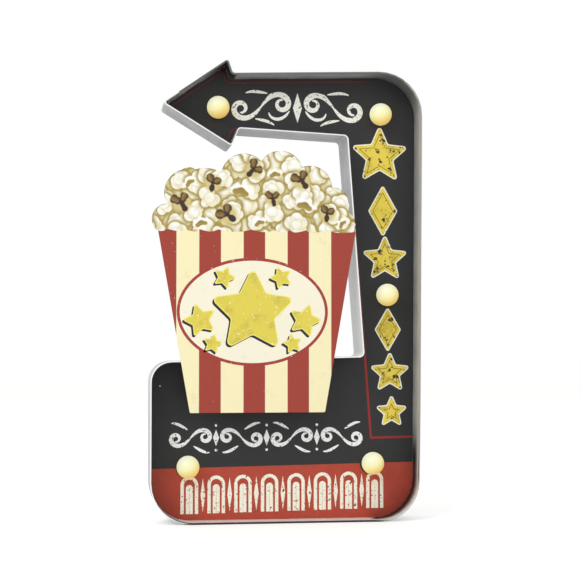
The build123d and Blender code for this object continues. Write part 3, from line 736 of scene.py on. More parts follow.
def make_box_print(shader):
    """Cream ground with red stripes, a little dirt and small pale specks in the red."""
    x, y, z = shader.place()
    first_edge = -108.0
    width = shader.settings.stripe_width / MM
    held = shader.math("MINIMUM", x, first_edge + 7.5 * width)
    turn = shader.math("FLOORED_MODULO", (held - first_edge) / (2 * width), 1.0)
    grain = shader.noise(1.0)
    dirt = shader.step(shader.noise(17, 5.0, 0.68), 0.56, 0.78)
    cream = shader.coats("cream", (dirt * 0.5, (205, 192, 140)), (grain * 0.25, ("cream", 0.8)))
    near_left = shader.step(x, -60, -118)
    specks = shader.step(shader.noise(2.1, roughness=0.5) + near_left * 0.035, 0.755, 0.765)
    red = shader.mix(grain, ("stripe_red", 0.82), ("stripe_red", 1.18))
    red = shader.mix(specks, red, (240, 225, 205))
    # A thin light line on each stripe's edge
    from_edge = shader.math("ABSOLUTE", turn - 0.5)
    line = shader.math("MINIMUM", from_edge, 0.5 - from_edge) < 0.35 / (2 * width)
    paint = shader.coats(cream, (turn > 0.5, red), (line * 0.6, (253, 246, 214)))
    shader.feed(Base_Color=bare_behind(shader, y, paint), Roughness=0.48, Specular_IOR_Level=0.3)


def make_painted(shader):
    """Print whose colours lie in the piece's own paint attribute."""
    depth = shader.place()[1]
    shader.feed(Base_Color=bare_behind(shader, depth, shader.attribute("paint")), **PRINTED)


def make_globe(shader):
    """Frosted cap lit from inside, whose glow is painted white on top as a highlight and warmer towards its
    lower side as shade.
    """
    glow = shader.attribute("paint")
    dimmed = shader.mix(0.4, (0, 0, 0), glow)
    shader.feed(Base_Color=dimmed, Emission_Color=glow, Emission_Strength=0.58, Roughness=0.45)


def make_oval(shader):
    """Pale ground of the oval with faint smudges."""
    smudge = shader.step(shader.noise(13, 5.0, 0.68), 0.55, 0.8)
    paint = shader.coats("oval", (smudge * 0.35, (205, 198, 170)), (shader.noise(1.0) * 0.2, ("oval", 0.82)))
    shader.feed(Base_Color=paint, Roughness=0.48)


def make_yellow(shader):
    """Yellow print with olive clouds and pale rubbed specks."""
    clouds = shader.step(shader.noise(14, 4.0), 0.45, 0.75)
    paint = shader.mix(clouds * 0.7, "yellow", ("yellow", 0.68))
    shader.feed(Base_Color=shader.mix(shader.chips(3.6, 0.63), paint, (250, 240, 190)), Roughness=0.48)


def speckled(colour, speck_colour, size, level, raised=0, **constants):
    """Maker of a plain finish with a light speckle, which may be raised by some millimetres."""

    def make(shader):
        noise = shader.noise(size, roughness=0.5)
        shader.feed(Base_Color=shader.mix(shader.step(noise, level, level + 0.2), colour, speck_colour))
        shader.feed(**constants)
        if raised:
            shader.bump(noise, raised)

    return make


def make_jacket(shader):
    """Cell jacket: a dark sleeve with a copper-coloured band at the button's end, and bare ends."""
    along = shader.attribute("along", "Fac")
    button_end = along > 0.72
    bare = (along < 0.012) + (along > 0.985)
    paint = shader.mix(button_end, (42, 44, 50), (196, 128, 72))
    paint = shader.mix(bare, paint, (200, 200, 200))
    shader.feed(Base_Color=paint, Metallic=shader.limited(bare + button_end * 0.5), Roughness=0.32)


FINISHES = {
    "galvanised": make_galvanised,
    "wall": make_wall,
    "printed_face": make_printed_face,
    "red_line": worn_print("line_red", 3, 0.74),
    # A darker copy of the line red, as painted shade on the border line along the walls
    "dark_red_line": worn_print((102, 38, 36), 3, 0.6),
    "cream_ink": worn_print((255, 252, 238), 2.4, 0.61),
    "white_ink": worn_print((255, 255, 254), 2.0, 0.61),
    "gold_edge": worn_print((255, 252, 228), 4, 0.70),
    "olive_line": worn_print((150, 128, 48), 3, 0.8),
    "band_ink": worn_print((255, 252, 230), 2.4, 0.61, (150, 52, 40)),
    "gold": make_gold,
    "navy": speckled("navy", (34, 38, 56), 2, 0.5, Roughness=0.5),
    "box_print": make_box_print,
    "popcorn_paint": make_painted,
    "oval": make_oval,
    "oval_ring": worn_print((164, 62, 56), 2.6, 0.66, (244, 224, 200)),
    "yellow": make_yellow,
    "yellow_edge": worn_print((246, 234, 120), 4, 0.72, (228, 211, 80)),
    "frosted_globe": make_globe,
    "lamp_epoxy": speckled((242, 240, 228), (250, 248, 240), 2, 0.4, Roughness=0.2),
    "circuit_board": speckled((44, 92, 60), (58, 110, 74), 1.5, 0.5, Roughness=0.45),
    "solder": speckled((176, 178, 182), (205, 206, 208), 1, 0.45, Metallic=0.9, Roughness=0.3),
    "foam": speckled((226, 226, 222), (196, 196, 192), 0.8, 0.5, 0.3, Roughness=0.9),
    "black_plastic": speckled((34, 35, 37), (46, 47, 49), 0.6, 0.45, 0.05, Roughness=0.42),
    "switch_plastic": speckled((62, 63, 66), (74, 75, 78), 0.6, 0.45, 0.03, Roughness=0.4),
    "cell_jacket": make_jacket,
    "nickel": speckled((190, 188, 182), (214, 212, 206), 3, 0.4, Metallic=0.9, Roughness=0.28),
    "clear_plastic": speckled((228, 232, 232), (240, 243, 243), 3, 0.4, Roughness=0.2),
    "red_insulation": speckled((176, 34, 30), (190, 44, 38), 4, 0.4, Roughness=0.4),
    "black_insulation": speckled((26, 26, 28), (36, 36, 38), 4, 0.4, Roughness=0.4),
}

# The record's slots of the finishes that have another name than their slot
DARK_PRINTS = ("red_line", "dark_red_line", "navy")
PALE_PRINTS = ("cream_ink", "white_ink", "gold_edge", "olive_line", "band_ink", "gold", "box_print")
PALE_PRINTS += ("popcorn_paint", "oval", "oval_ring", "yellow", "yellow_edge")
SLOTS = {
    "wall": "galvanised",
    "solder": "nickel",
    "switch_plastic": "black_plastic",
    **dict.fromkeys(DARK_PRINTS, "charcoal_paint"),
    **dict.fromkeys(PALE_PRINTS, "cream_print"),
}


def finish(name):
    """The named finish's material, made the first time it is asked for."""
    title = name + "_finish"
    if title not in bpy.data.materials:
        FINISHES[name](Shader(bpy.data.materials.new(title)))
    return bpy.data.materials[title]


def dress(node, finish_name):
    """Give a CAD node that stays in view its material."""
    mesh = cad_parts[node].data
    mesh.materials.clear()
    mesh.materials.append(finish(finish_name))


# Walls


def wall_section(settings):
    """Section of the wall as (inset, depth), from the rear edge round the front and back again.

    The sheet runs forwards on the outside, folds over in a half round as wide as the hem, runs back inside
    for the hem's depth with a rounded end, and leaves the bare sheet behind it.
    """
    sheet, width, depth = settings.sheet, settings.hem_width, settings.hem_depth
    fold = width / 2 + width / 2 * circle(np.linspace(pi, 0, 11)) * (1, -1)
    end = (width - sheet) / 2
    leg = np.array((width, depth)) - end + end * circle(np.linspace(0, pi / 2, 5))
    rear = [(sheet, depth), (sheet, REAR_Y - RIM_Y), (0, REAR_Y - RIM_Y)]
    return np.concatenate((fold, leg, rear))


def wall_along(path, heading, section):
    """Section carried along a path, each point inwards by its inset and back from the rim by its depth."""
    flat = path[:, None] + inward_of(heading)[:, None] * section[:, :1]
    return tube(standing(flat, RIM_Y + section[:, 1]))


def outline_run(names, start, end, moved=()):
    """Path and headings from a start through named corners, which may be moved, to an end."""
    corners = {**CORNERS, **dict(moved)}
    run = np.array([(*start, 0), *(corners[name] for name in names), (*end, 0)])
    return [part[ARC_POINTS - 1 : 1 - ARC_POINTS] for part in rounded(run[:, :2], run[:, 2])]


class LEDSIGN_OT_walls(bpy.types.Operator):
    """Make the two bent wall strips with their hemmed front rim."""

    bl_idname = "led_sign.walls"
    bl_label = "Walls"

    def execute(self, context):
        settings = context.scene.led_sign_wall
        sheet = settings.sheet
        section = wall_section(settings)
        tip, barb_top, barb_bottom, shoulder, window_low = (
            CORNERS[name][:2] for name in ("tip", "barb_top", "barb_bottom", "shoulder", "window_low")
        )
        upper, lower = unit(barb_top - tip), unit(tip - barb_bottom)
        outward = -inward_of(upper)
        seam = tip + upper * SEAM_FROM_TIP
        along_block = window_low - shoulder
        base_seam = shoulder + along_block * ((BASE_SEAM_X - shoulder[0]) / along_block[0])
        names = ["barb_top", "neck_top", "bar_right", "base_right", "base_left", "shoulder"]
        path, heading = outline_run(names, seam, base_seam)
        tongue_front = RIM_Y + settings.hem_depth + 0.3 * MM
        tongue_side = np.array((seam - upper * LAP_LENGTH, seam))
        tongue = band(tongue_side, tongue_side - outward * sheet, tongue_front, REAR_Y, closed=False)
        insets = np.append(np.tile(section[:, 0], len(path)), np.zeros(len(tongue[0])))
        outer = piece("wall_outer", [wall_along(path, heading, section), tongue], "wall", ("inset", insets))
        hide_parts("wall_strip_outer")
        # The inner strip's end lies one sheet further out, over the outer strip's tongue
        tip_over = CORNERS["tip"] + (*lower * (sheet / (lower @ outward)), 0)
        names = ["window_low", "window_high", "neck_bottom", "barb_bottom", "tip"]
        path, heading = outline_run(names, base_seam, seam + outward * sheet, {"tip": tip_over})
        insets = np.tile(section[:, 0], len(path))
        inner = piece("wall_inner", [wall_along(path, heading, section)], "wall", ("inset", insets))
        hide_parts("wall_strip_inner")
        dress("seam_strap", "galvanised")
        return {"FINISHED"}


# Prints on the face


def star(middle, radius, depth=0.46, turn=0.0):
    """Corners of a five-pointed star; depth is the inner corners' share of the radius."""
    corner = np.arange(10)
    reach = np.where(corner % 2, depth * radius, radius)
    return middle + circle(pi / 2 + turn - corner * pi / 5) * reach[:, None]


def lozenge(middle, width, height):
    """Corners of an upright diamond."""
    return middle + np.array(((0, height), (width, 0), (0, -height), (-width, 0))) / 2


def softly(corners, radius):
    """Outline through the corners with each one an arc of the radius."""
    return rounded(corners, np.full(len(corners), radius), 6)[0]


def grown(corners, distance):
    """Clockwise corners moved outwards so that each edge moves by the distance.

    A corner moves along the mean of its two edges' normals, by the distance over that mean's share of
    a normal.
    """
    outward = -inward_of(unit(np.roll(corners, -1, 0) - corners))
    normal = unit(outward + np.roll(outward, 1, 0))
    return corners + normal * distance / (normal * outward).sum(1)[:, None]


def disc(middle, radius, steps=20):
    """Outline of a disc, or of an ellipse if the radius is a pair of half widths."""
    return middle + radius * circle(-np.linspace(0, tau, steps, endpoint=False))


def scroll(start, heading, length, bend_start, bend_end, width, mirror=1.0):
    """Two sides of a pen stroke along a clothoid.

    Its curvature runs evenly from bend_start to bend_end, so the heading is the sum of the curvature and the
    place the sum of the headings. Its width swells from thin ends to the full width in the middle.
    """
    share = np.linspace(0, 1, STROKE_POINTS)
    angle = heading + length * (bend_start * share + (bend_end - bend_start) * share**2 / 2)
    along = circle(angle) * (mirror, 1)
    moves = np.cumsum((along[1:] + along[:-1]) / 2, 0) * length / (STROKE_POINTS - 1)
    path = start + np.concatenate((np.zeros((1, 2)), moves))
    half = -inward_of(along) * (width / 2 * (0.28 + 0.72 * np.sin(pi * share) ** 0.8))[:, None]
    return path + half, path - half


def double_scroll(middle, size, tilt, width, flip=1.0):
    """Two sides of an S-shaped scroll with an eye at each end, centred on a point.

    It is a clothoid whose curvature runs from minus to plus the same value, drawn from its middle both ways.
    """
    reach = size * 1.5
    sides = [scroll((0, 0), tilt + side, reach, 0, 15 / reach, width) for side in (0, pi)]
    outer = np.concatenate((sides[1][1][::-1], sides[0][0][1:]))
    inner = np.concatenate((sides[1][0][::-1], sides[0][1][1:]))
    return middle + outer * (flip, 1), middle + inner * (flip, 1)


def halfway(places):
    """Places in the middle between each two that follow one another."""
    return (places[:-1] + places[1:]) / 2


def curls(rows, middle, side):
    """Two sides of each pen stroke in a table of strokes beside a middle, on its right for 1, left for -1."""
    return [
        scroll(middle + mm(side * right, up), radians(heading), length * MM, *bends, width * MM, side)
        for right, up, heading, length, *bends, width in rows
    ]


def ink_levels(layer, ground=FACE_Y):
    """Front and back depth of a printed layer above a ground."""
    return ground - layer * INK_STEP, ground + INK_SUNK


def printed(outlines, layer, ground=FACE_Y):
    """Closed outlines as the thin solids of one printed layer."""
    return [slab(outline, *ink_levels(layer, ground)) for outline in outlines]


def stroke_parts(strokes):
    """Pen strokes as thin solids, each a hair above the one before so that crossings stay clean."""
    levels = [ink_levels(1 + STROKE_STEP * k) for k in range(len(strokes))]
    return [band(outer, inner, *level, closed=False) for (outer, inner), level in zip(strokes, levels)]


def arch(middle, half, top, foot):
    """Two sides of an upright line that turns over in a half round of the given half width."""
    angle = np.linspace(pi, 0, 17)
    curve = (0, top - half) + half * circle(angle)
    path = middle + np.concatenate(([(-half, foot)], curve, [(half, foot)]))
    outward = np.concatenate(([(-1, 0)], circle(angle), [(1, 0)]))
    return path, path - outward * min(ARCH_STROKE, half * 0.98)


class LEDSIGN_OT_face_print(bpy.types.Operator):
    """Print the face: grounds, border line and ornaments, and lay dark rings of painted shade round the
    globes.
    """

    bl_idname = "led_sign.face_print"
    bl_label = "Face print"

    def execute(self, context):
        settings = context.scene.led_sign_print
        dress("face_plate", "printed_face")
        self.border(settings)
        self.column(settings.edge_width)
        self.bar()
        self.block()
        self.red_band()
        # Dark rings of painted shade round each globe's foot
        rings = [[disc(place, radius, 48) for radius in RING_RADII] for place in GLOBE_PLACES.values()]
        piece("globe_rings", [band(*sides, *ink_levels(4)) for sides in rings], "navy")
        return {"FINISHED"}

    def border(self, settings):
        """Red line along the walls from the column's foot round the arrow, and a red one down the column.

        The line along the walls is darker, as painted shade.
        """
        names = ["window_low", "window_high", "neck_bottom", "barb_bottom", "tip", "barb_top", "neck_top"]
        run = np.array([CORNERS[name] for name in (*names, "bar_right", "base_right")])
        run[-2, 2] = 0
        # The line starts where the first corner's arc ends, and ends short of the bar's right corner
        kept = slice(ARC_POINTS - 1, 1 - 2 * ARC_POINTS)
        path, heading = (part[kept] for part in rounded(run[:, :2], run[:, 2]))
        path[-1] -= heading[-1] * BORDER_END
        near = path + inward_of(heading) * BORDER_INSET
        far = near + inward_of(heading) * settings.border_width
        piece("border_line", stroke_parts([(near, far)]), "dark_red_line")
        ahead = unit(np.diff(COLUMN_LINE, axis=0))
        before = ahead[[0, 0, 1, 2]]
        heading = unit(before + ahead[[0, 1, 2, 2]])
        side = inward_of(heading) * (settings.line_width / 2 / (heading * before).sum(1))[:, None]
        piece("column_line", stroke_parts([(COLUMN_LINE + side, COLUMN_LINE - side)]), "red_line")

    def column(self, edge):
        """Gold ornaments on light edges, each with a thin olive line inside."""
        rounding = [radius * MM for *_, radius in COLUMN_ORNAMENTS]
        shapes = [
            (star if len(size) == 1 else lozenge)(mm(right, up), *mm(*size))
            for right, up, size, _ in COLUMN_ORNAMENTS
        ]
        edges = [softly(grown(shape, edge), radius + edge) for shape, radius in zip(shapes, rounding)]
        piece("column_ornament_edges", printed(edges, 1), "gold_edge")
        piece("column_ornaments", printed(map(softly, shapes, rounding), 2), "gold")
        inlines = [[softly(grown(shape, -inset), 0.3 * MM) for inset in mm(2.6, 3.3)] for shape in shapes]
        piece("column_ornament_inlines", [band(*sides, *ink_levels(3)) for sides in inlines], "olive_line")

    def bar(self):
        """Two large scrolls with a diamond between them along the top bar, and small curls beside it."""
        strokes = []
        for side in (-1, 1):
            middle = BAR_MIDDLE + mm(side * 36, 0)
            strokes.append(double_scroll(middle, 42 * MM, radians(-52), 5.4 * MM, side))
            strokes += curls(BAR_CURLS, BAR_MIDDLE, side)
        diamond = lozenge(BAR_MIDDLE - mm(0, 1), 9 * MM, 30 * MM)
        piece("bar_scrolls", stroke_parts(strokes) + printed([diamond], 1), "cream_ink")

    def block(self):
        """Running row of thin scrolls with small diamonds and dots across the block."""
        middles = np.linspace(-92 * MM, 57 * MM, 4)
        strokes, dots = [], []
        for x, side in zip(middles, (-1, 1, -1, 1)):
            strokes.append(double_scroll((x, BLOCK_LEVEL), 29 * MM, radians(-48), 4.3 * MM, side))
            strokes += curls(BLOCK_CURLS, (x, BLOCK_LEVEL), side)
        for x in halfway(middles):
            dots.append(lozenge((x, BLOCK_LEVEL), 6 * MM, 16 * MM))
            dots += [disc((x, BLOCK_LEVEL + shift), 1.3 * MM) for shift in mm(-12, 12)]
        piece("block_scrolls", stroke_parts(strokes) + printed(dots, 1), "white_ink")

    def red_band(self):
        """Row of nested upright arches along the red band, with slender diamonds between them."""
        places = np.linspace(-93 * MM, 90 * MM, 8)
        arches = [arch((x, BAND_LEVEL + x * BAND_RISE), *sizes) for x in places for sizes in BAND_ARCHES]
        diamonds = [lozenge((x, BAND_LEVEL + x * BAND_RISE), 4.6 * MM, 33 * MM) for x in halfway(places)]
        piece("band_ornaments", stroke_parts(arches) + printed(diamonds, 1), "band_ink")


# Popcorn panel


def heap_edge(angle, pole):
    """Distance from the pole to the far side of the union of the lobes, along each angle.

    A ray meets a circle of radius r about c last at c.d + sqrt((c.d)^2 - c.c + r^2), with d its direction.
    """
    middle = POPCORN_LOBES[:, :2] + BOX_CORNER - pole
    along = circle(angle) @ middle.T
    inside = along**2 - (middle**2).sum(1) + POPCORN_LOBES[:, 2] ** 2
    return np.where(inside > 0, along + np.sqrt(np.maximum(inside, 0)), 0).max(1)


def flakes(settings):
    """Popcorn flakes in a random order, each as six balls (middle, radius) and their tones from 0 to 1.

    A flake is a ring of five balls with one on top. The flakes lie in staggered rows, 0.6 of their spacing
    apart, over a field of 212 mm by 112 mm that starts 9 mm left of and below the box's corner, and each is
    moved a little from its place.
    """
    random = np.random.default_rng(settings.seed)
    size = settings.flake
    column, row = np.meshgrid(np.arange(int(212 * MM / size)), np.arange(int(112 * MM / size / 0.6)))
    place = np.stack((column + 0.5 * (row % 2), row * 0.6), -1).reshape(-1, 2) * size + BOX_CORNER - 9 * MM
    place += random.uniform(-0.28, 0.28, place.shape) * size
    for middle in random.permutation(place):
        angle = random.uniform(0, tau) + np.arange(5) * tau / 5 + random.uniform(-0.35, 0.35, 5)
        reach = random.uniform(0.26, 0.42, 5) * size
        ring = middle + circle(angle) * reach[:, None]
        radius = np.append(random.uniform(0.24, 0.46, 5), random.uniform(0.3, 0.44)) * size
        yield list(zip(np.concatenate((ring, [middle])), radius)), random.uniform(0, 1, 6)


def blend(colour, tone, amount):
    """The colours moved towards a tone by an amount between 0 and 1 at each point."""
    return colour + (tone - colour) * np.clip(amount, 0, 1)[:, None]


def paint_popcorn(points, settings):
    """Screen colours of the popcorn print at the points.

    The balls are painted one over the other. Each first darkens what lies close round it, more where that is
    another flake, and then covers its own disc: white at its upper left, cream below, and tan at its rim.
    """
    colour = np.tile(POPCORN_OLIVE, (len(points), 1))
    owner = np.full(len(points), -1)
    for number, (balls, tone) in enumerate(flakes(settings)):
        cream = POPCORN_WARM if tone[0] > 0.65 else POPCORN_CREAM
        for (middle, radius), rim_tone in zip(balls, tone):
            near = np.nonzero(np.abs(points - middle).max(1) < radius + 4 * MM)[0]
            shift = (points[near] - middle) / radius
            distance = np.hypot(*shift.T)
            gap = np.maximum(distance - 1, 0) * radius
            own = owner[near] == number
            crease = np.where(own[:, None], POPCORN_TAN, POPCORN_OLIVE)
            sunk = np.where(own, 0.4 * np.exp(-gap / (0.9 * MM)), 0.97 * np.exp(-((gap / (1.9 * MM)) ** 1.5)))
            ground = blend(colour[near], crease, sunk)
            light = np.clip(0.74 - 0.3 * shift[:, 0] + 0.4 * shift[:, 1], 0, 1)
            ball = blend(cream, POPCORN_WHITE, light**0.8)
            rim = np.clip((distance - 0.62) / 0.38, 0, 1) ** 2
            ball = blend(ball, POPCORN_TAN, rim * (1 - 0.8 * light) * (0.2 + 0.7 * rim_tone))
            colour[near] = blend(ground, ball, (1 - distance) * radius / (0.5 * MM))
            owner[near[distance < 1]] = number
    # Soft brush marks in grey and cream
    across_x, up_z = (points / (3.1 * MM)).T
    brush = np.sin(across_x + 2 * np.sin(0.6 * up_z)) * np.sin(up_z + 1.7 * np.sin(0.8 * across_x))
    colour *= 1 - 0.075 * np.clip(brush, 0, 1)[:, None] * (0.7, 0.75, 1.3)
    return husks(points, hollows(points, colour))


def from_corner(points, right, up):
    """Points measured from a place given in millimetres right of and above the box's top left corner."""
    return points - (BOX_CORNER + mm(right, up))


def across(shift, turn):
    """The points' lengths along a heading and to its left."""
    return shift @ (np.cos(turn), np.sin(turn)), shift @ (-np.sin(turn), np.cos(turn))


def hollows(points, colour):
    """Paint the popcorn's hollows: under a white lip an olive bean, darker at its top.

    The bean is three discs in a bow. Its edge is the soft minimum of their distances d,
    -ln(sum(exp(-9 d))) / 9.
    """
    for right, up, turn, reach in POPCORN_HOLLOWS:
        u, v = across(from_corner(points, right, up) / (reach * MM), turn)
        gap = [np.hypot(u - along, (v - aside) * 1.15) - size for along, aside, size in HOLLOW_DISCS]
        gap = -np.log(np.exp(-9 * np.clip(gap, -1, 4)).sum(0)) / 9
        lip = np.clip((v + 0.25) * 3, 0, 1) * (1.0 + 0.25 * np.sin(7 * u + 3 * turn))
        colour = blend(colour, POPCORN_WHITE, (0.62 * lip - gap) * 3)
        colour = blend(colour, POPCORN_OLIVE, -gap * 12)
        colour = blend(colour, POPCORN_HULL, np.where(gap < 0, 0.9 * (v + 0.2), 0))
    return colour


def husks(points, colour):
    """Paint the dark husks: on a tan pad two wide petals with dark edges, and a narrow one opposite.

    At the share u of its length a petal's half width goes with u^0.7 (1 - u)^0.4, less a few notches.
    """
    for right, up, turn, scale in POPCORN_HUSKS:
        shift = from_corner(points, right, up) / scale
        colour = blend(colour, POPCORN_TAN, (1 - np.hypot(*shift.T) / (9 * MM)) * 2.4)
        for aside, reach, width in HUSK_PETALS:
            u, v = across(shift, turn + aside)
            u = (u + 0.8 * MM) / (reach * MM)
            half = np.clip(u, 0.001, 1) ** 0.7 * np.clip(1 - u, 0.001, 1) ** 0.4 * 1.75 * width * MM
            notched = half * (1 - 0.22 * np.clip(np.sin(9 * u + 5 * turn), 0, 1))
            measure = np.where((u > 0) & (u < 1), np.abs(v) / notched, 9.0)
            colour = blend(colour, POPCORN_HUSK, (1 - measure) * 4)
            petal = (0.72 - measure) * 2.6 * (width > 3.5) * np.clip(5 * u - 1.1, 0, 1)
            colour = blend(colour, POPCORN_HULL + 0.16 * np.clip(v / half, -1, 1)[:, None], petal)
    return colour


def heap_shade_line(points, colour, pole):
    """Paint a thin broken grey line along the lobes' outline, measured on the rays from the pole.

    The line is painted shade along the sheet's edge.
    """
    across_x, up_z = (points - pole).T
    from_edge = heap_edge(np.arctan2(up_z, across_x), pole) - np.hypot(across_x, up_z)
    broken = 0.5 + 0.5 * np.sin(across_x / (2.3 * MM) + 3 * np.sin(up_z / (3.7 * MM)))
    return blend(colour, POPCORN_EDGE_SHADE, (1.2 - from_edge / (0.8 * MM)) * broken * 0.8)


def paint(mesh, colours):
    """Store screen colours, one for each point, as the mesh's paint attribute."""
    layer = mesh.color_attributes.new("paint", "FLOAT_COLOR", "POINT")
    values = np.column_stack((linear(np.clip(colours, 0, 1)), np.ones(len(colours))))
    layer.data.foreach_set("color", values.astype(np.float32).ravel())


class LEDSIGN_OT_popcorn_panel(bpy.types.Operator):
    """Make the striped box and the popcorn heap of the die-cut panel, and print the oval."""

    bl_idname = "led_sign.popcorn_panel"
    bl_label = "Popcorn panel"

    def execute(self, context):
        outline, _ = rounded(BOX_OUTLINE[:, :2], BOX_OUTLINE[:, 2])
        box = piece("popcorn_box", [slab(outline, BOX_FRONT_Y, RIM_Y)], "box_print")
        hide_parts("popcorn_panel")
        heap = self.heap(context.scene.led_sign_popcorn)
        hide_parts("popcorn_panel")
        self.oval()
        return {"FINISHED"}

    def heap(self, settings):
        """Fan of points between a wavy lower edge on the box and the lobes' outline.

        The pole lies inside the box. Along each ray the fan starts where the ray crosses the wavy edge and
        ends at the outline.
        """
        # The points lie about a paint step apart at 115 mm from the pole and along 90 mm of a ray
        drop = 40 * MM
        pole = np.array(((BOX_OUTLINE[0, 0] + BOX_OUTLINE[3, 0]) / 2, BOX_OUTLINE[0, 1] - drop))
        start, end = np.arctan2(drop, mm(-95.9, 93.6))
        angle = np.linspace(start, end, int((start - end) * 115 * MM / settings.paint_step))
        crossing = pole[0] + drop / np.tan(angle)
        wave = 1.7 * MM - 2.2 * MM * np.abs(np.sin(crossing / (6.4 * MM) + np.sin(crossing / (15 * MM))))
        far = heap_edge(angle, pole)
        near = np.minimum((drop + wave) / np.sin(angle), far - 0.05 * MM)
        share = np.linspace(0, 1, int(90 * MM / settings.paint_step))
        reach = near + (far - near) * share[:, None]
        flat = pole + circle(angle) * reach[..., None]
        number = np.arange(reach.size).reshape(reach.shape)
        edge = np.concatenate((number[0], number[1:, -1], number[-1, -2::-1], number[-2:0:-1, 0]))
        behind = np.arange(len(edge)) + reach.size
        sides = np.column_stack((edge, np.roll(edge, -1), np.roll(behind, -1), behind))
        back = standing(flat.reshape(-1, 2)[edge], RIM_Y - 0.1 * MM)
        points = np.concatenate((standing(flat, PANEL_Y).reshape(-1, 3), back))
        faces = [*grid_faces(*reach.shape), *sides, behind]
        heap = piece("popcorn_heap", [(points, faces)], "popcorn_paint")
        places = mesh_points(heap.data)[:, ::2]
        paint(heap.data, heap_shade_line(places, paint_popcorn(places, settings), pole))
        return heap

    def oval(self):
        """Pale oval with a red ring, and stars with a dark shadow towards the lower left."""
        ground = BOX_FRONT_Y
        piece("oval", printed([disc(OVAL_MIDDLE, OVAL_HALF, 96)], 1, ground), "oval")
        sides = [disc(OVAL_MIDDLE, OVAL_HALF + grow, 96) for grow in mm(0.8, -2.0)]
        piece("oval_ring", [band(*sides, *ink_levels(2, ground))], "oval_ring")
        corners = [
            star(OVAL_MIDDLE + mm(right, up), radius * MM, depth=0.5, turn=turn)
            for right, up, radius, turn in OVAL_STARS
        ]
        soft = [0.09 * radius * MM for _, _, radius, _ in OVAL_STARS]
        stars = list(map(softly, corners, soft))
        piece("star_shadows", printed([shape + mm(-1.8, -1.8) for shape in stars], 2, ground), "navy")
        piece("stars", printed(stars, 3, ground), "yellow")
        edges = [
            band(shape, softly(grown(corner, -0.8 * MM), radius * 0.9), *ink_levels(4, ground))
            for shape, corner, radius in zip(stars, corners, soft)
        ]
        piece("star_edges", edges, "yellow_edge")


# Globes and lamps


class LEDSIGN_OT_globes(bpy.types.Operator):
    """Make the frosted globe caps, and dress the lamps, their boards and solder."""

    bl_idname = "led_sign.globes"
    bl_label = "Globes and lamps"

    def execute(self, context):
        centre = FACE_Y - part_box("globe_caps")[0].y - GLOBE_RADIUS
        ball = GLOBE_RADIUS * circle(np.linspace(pi / 2, -np.arcsin(centre / GLOBE_RADIUS), 30)) + (0, centre)
        ball[0, 0] = 0
        bore, depth = GLOBE_BORE
        section = np.concatenate((ball, [(bore, 0), (bore, depth), (0, depth)]))
        for name, middle in GLOBE_PLACES.items():
            globe = piece(f"globe_{name}", [turned(section, middle, FACE_Y, 48)], "frosted_globe")
            from_centre = mesh_points(globe.data) - (middle[0], FACE_Y - centre, middle[1])
            # The glow is painted: white towards the painted light as a highlight, warmer on the far side as
            # painted shade
            share = np.clip(0.5 + 0.5 * from_centre @ GLOBE_PAINTED_LIGHT / GLOBE_RADIUS, 0, 1)[:, None]
            upper = np.clip((share - 0.55) / 0.4, 0, 1)
            lower = np.clip((0.62 - share) / 0.46, 0, 1)
            glow = GLOBE_MIDDLE + (GLOBE_PAINTED_HIGHLIGHT - GLOBE_MIDDLE) * upper + (GLOBE_PAINTED_SHADE - GLOBE_MIDDLE) * lower
            paint(globe.data, glow)
            if name == "left":
                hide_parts("globe_caps")
        dress("led_lamps", "lamp_epoxy")
        softened("lamp_boards", "circuit_board", 0.15)
        radius, height = SOLDER_DOME
        dome = circle(np.linspace(0, pi / 2, 6)) * (radius, -height)
        dome[-1, 0] = 0
        dome = np.concatenate(([(0, 0.02 * MM), (radius, 0.02 * MM)], dome))
        board_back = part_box("lamp_boards")[1].y
        domes = [
            turned(dome, middle + (side * LAMP_PIN, 0), board_back, 14)
            for middle in GLOBE_PLACES.values()
            for side in (-1, 1)
        ]
        piece("solder", domes, "solder")
        return {"FINISHED"}


# Battery box and wiring


class LEDSIGN_OT_battery_box(bpy.types.Operator):
    """Dress the battery box with its door, cells, contacts and switch."""

    bl_idname = "led_sign.battery_box"
    bl_label = "Battery box"

    def execute(self, context):
        softened("battery_case", "black_plastic", 0.3)
        softened("battery_door", "black_plastic", 0.12, "battery_door")
        softened("switch_body", "switch_plastic", 0.15)
        softened("switch_slider", "switch_plastic", 0.1, "switch_slider")
        dress("case_pad", "foam")
        for node in ("contact_bridge", "contact_plus", "contact_minus", "switch_terminals"):
            dress(node, "nickel")
        self.cell("cell_upper", -1)
        self.cell("cell_lower", 1)
        return {"FINISHED"}

    def cell(self, node, button_side):
        """One cell turned about its own axis: flat end, rounded shoulders and a raised button.

        The section's points are (distance from the axis, distance from the flat end).
        """
        low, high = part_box(node)
        radius, length = (high.z - low.z) / 2, high.x - low.x
        button_radius, nib, edge = mm(2.6, 0.3, 0.6)
        body = length - 1.3 * MM
        quarter = circle(np.linspace(0, pi / 2, 5))
        foot = (radius, 0) + edge * (quarter[:, ::-1] * (1, -1) + (-1, 1))
        shoulder = (radius, body) + edge * (quarter - 1)
        button = [(button_radius, body), (button_radius, length - nib), (button_radius - nib, length)]
        section = np.concatenate(([(0, 0)], foot, shoulder, button, [(0, length)]))
        start = low.x if button_side > 0 else high.x
        middle = (low + high) / 2
        steps = 40
        rays = circle(np.linspace(0, tau, steps, endpoint=False))[:, None]
        rings = rays * section[:, :1] + (middle.y, middle.z)
        along = np.broadcast_to(section[:, 1], rings.shape[:-1])
        points = np.concatenate(((start + button_side * along)[..., None], rings), -1)
        faces = grid_faces(steps, len(section), closed_rows=True)
        made = piece(node + "_shown", [(points, faces)], "cell_jacket", ("along", along.ravel() / body))
        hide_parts(node)


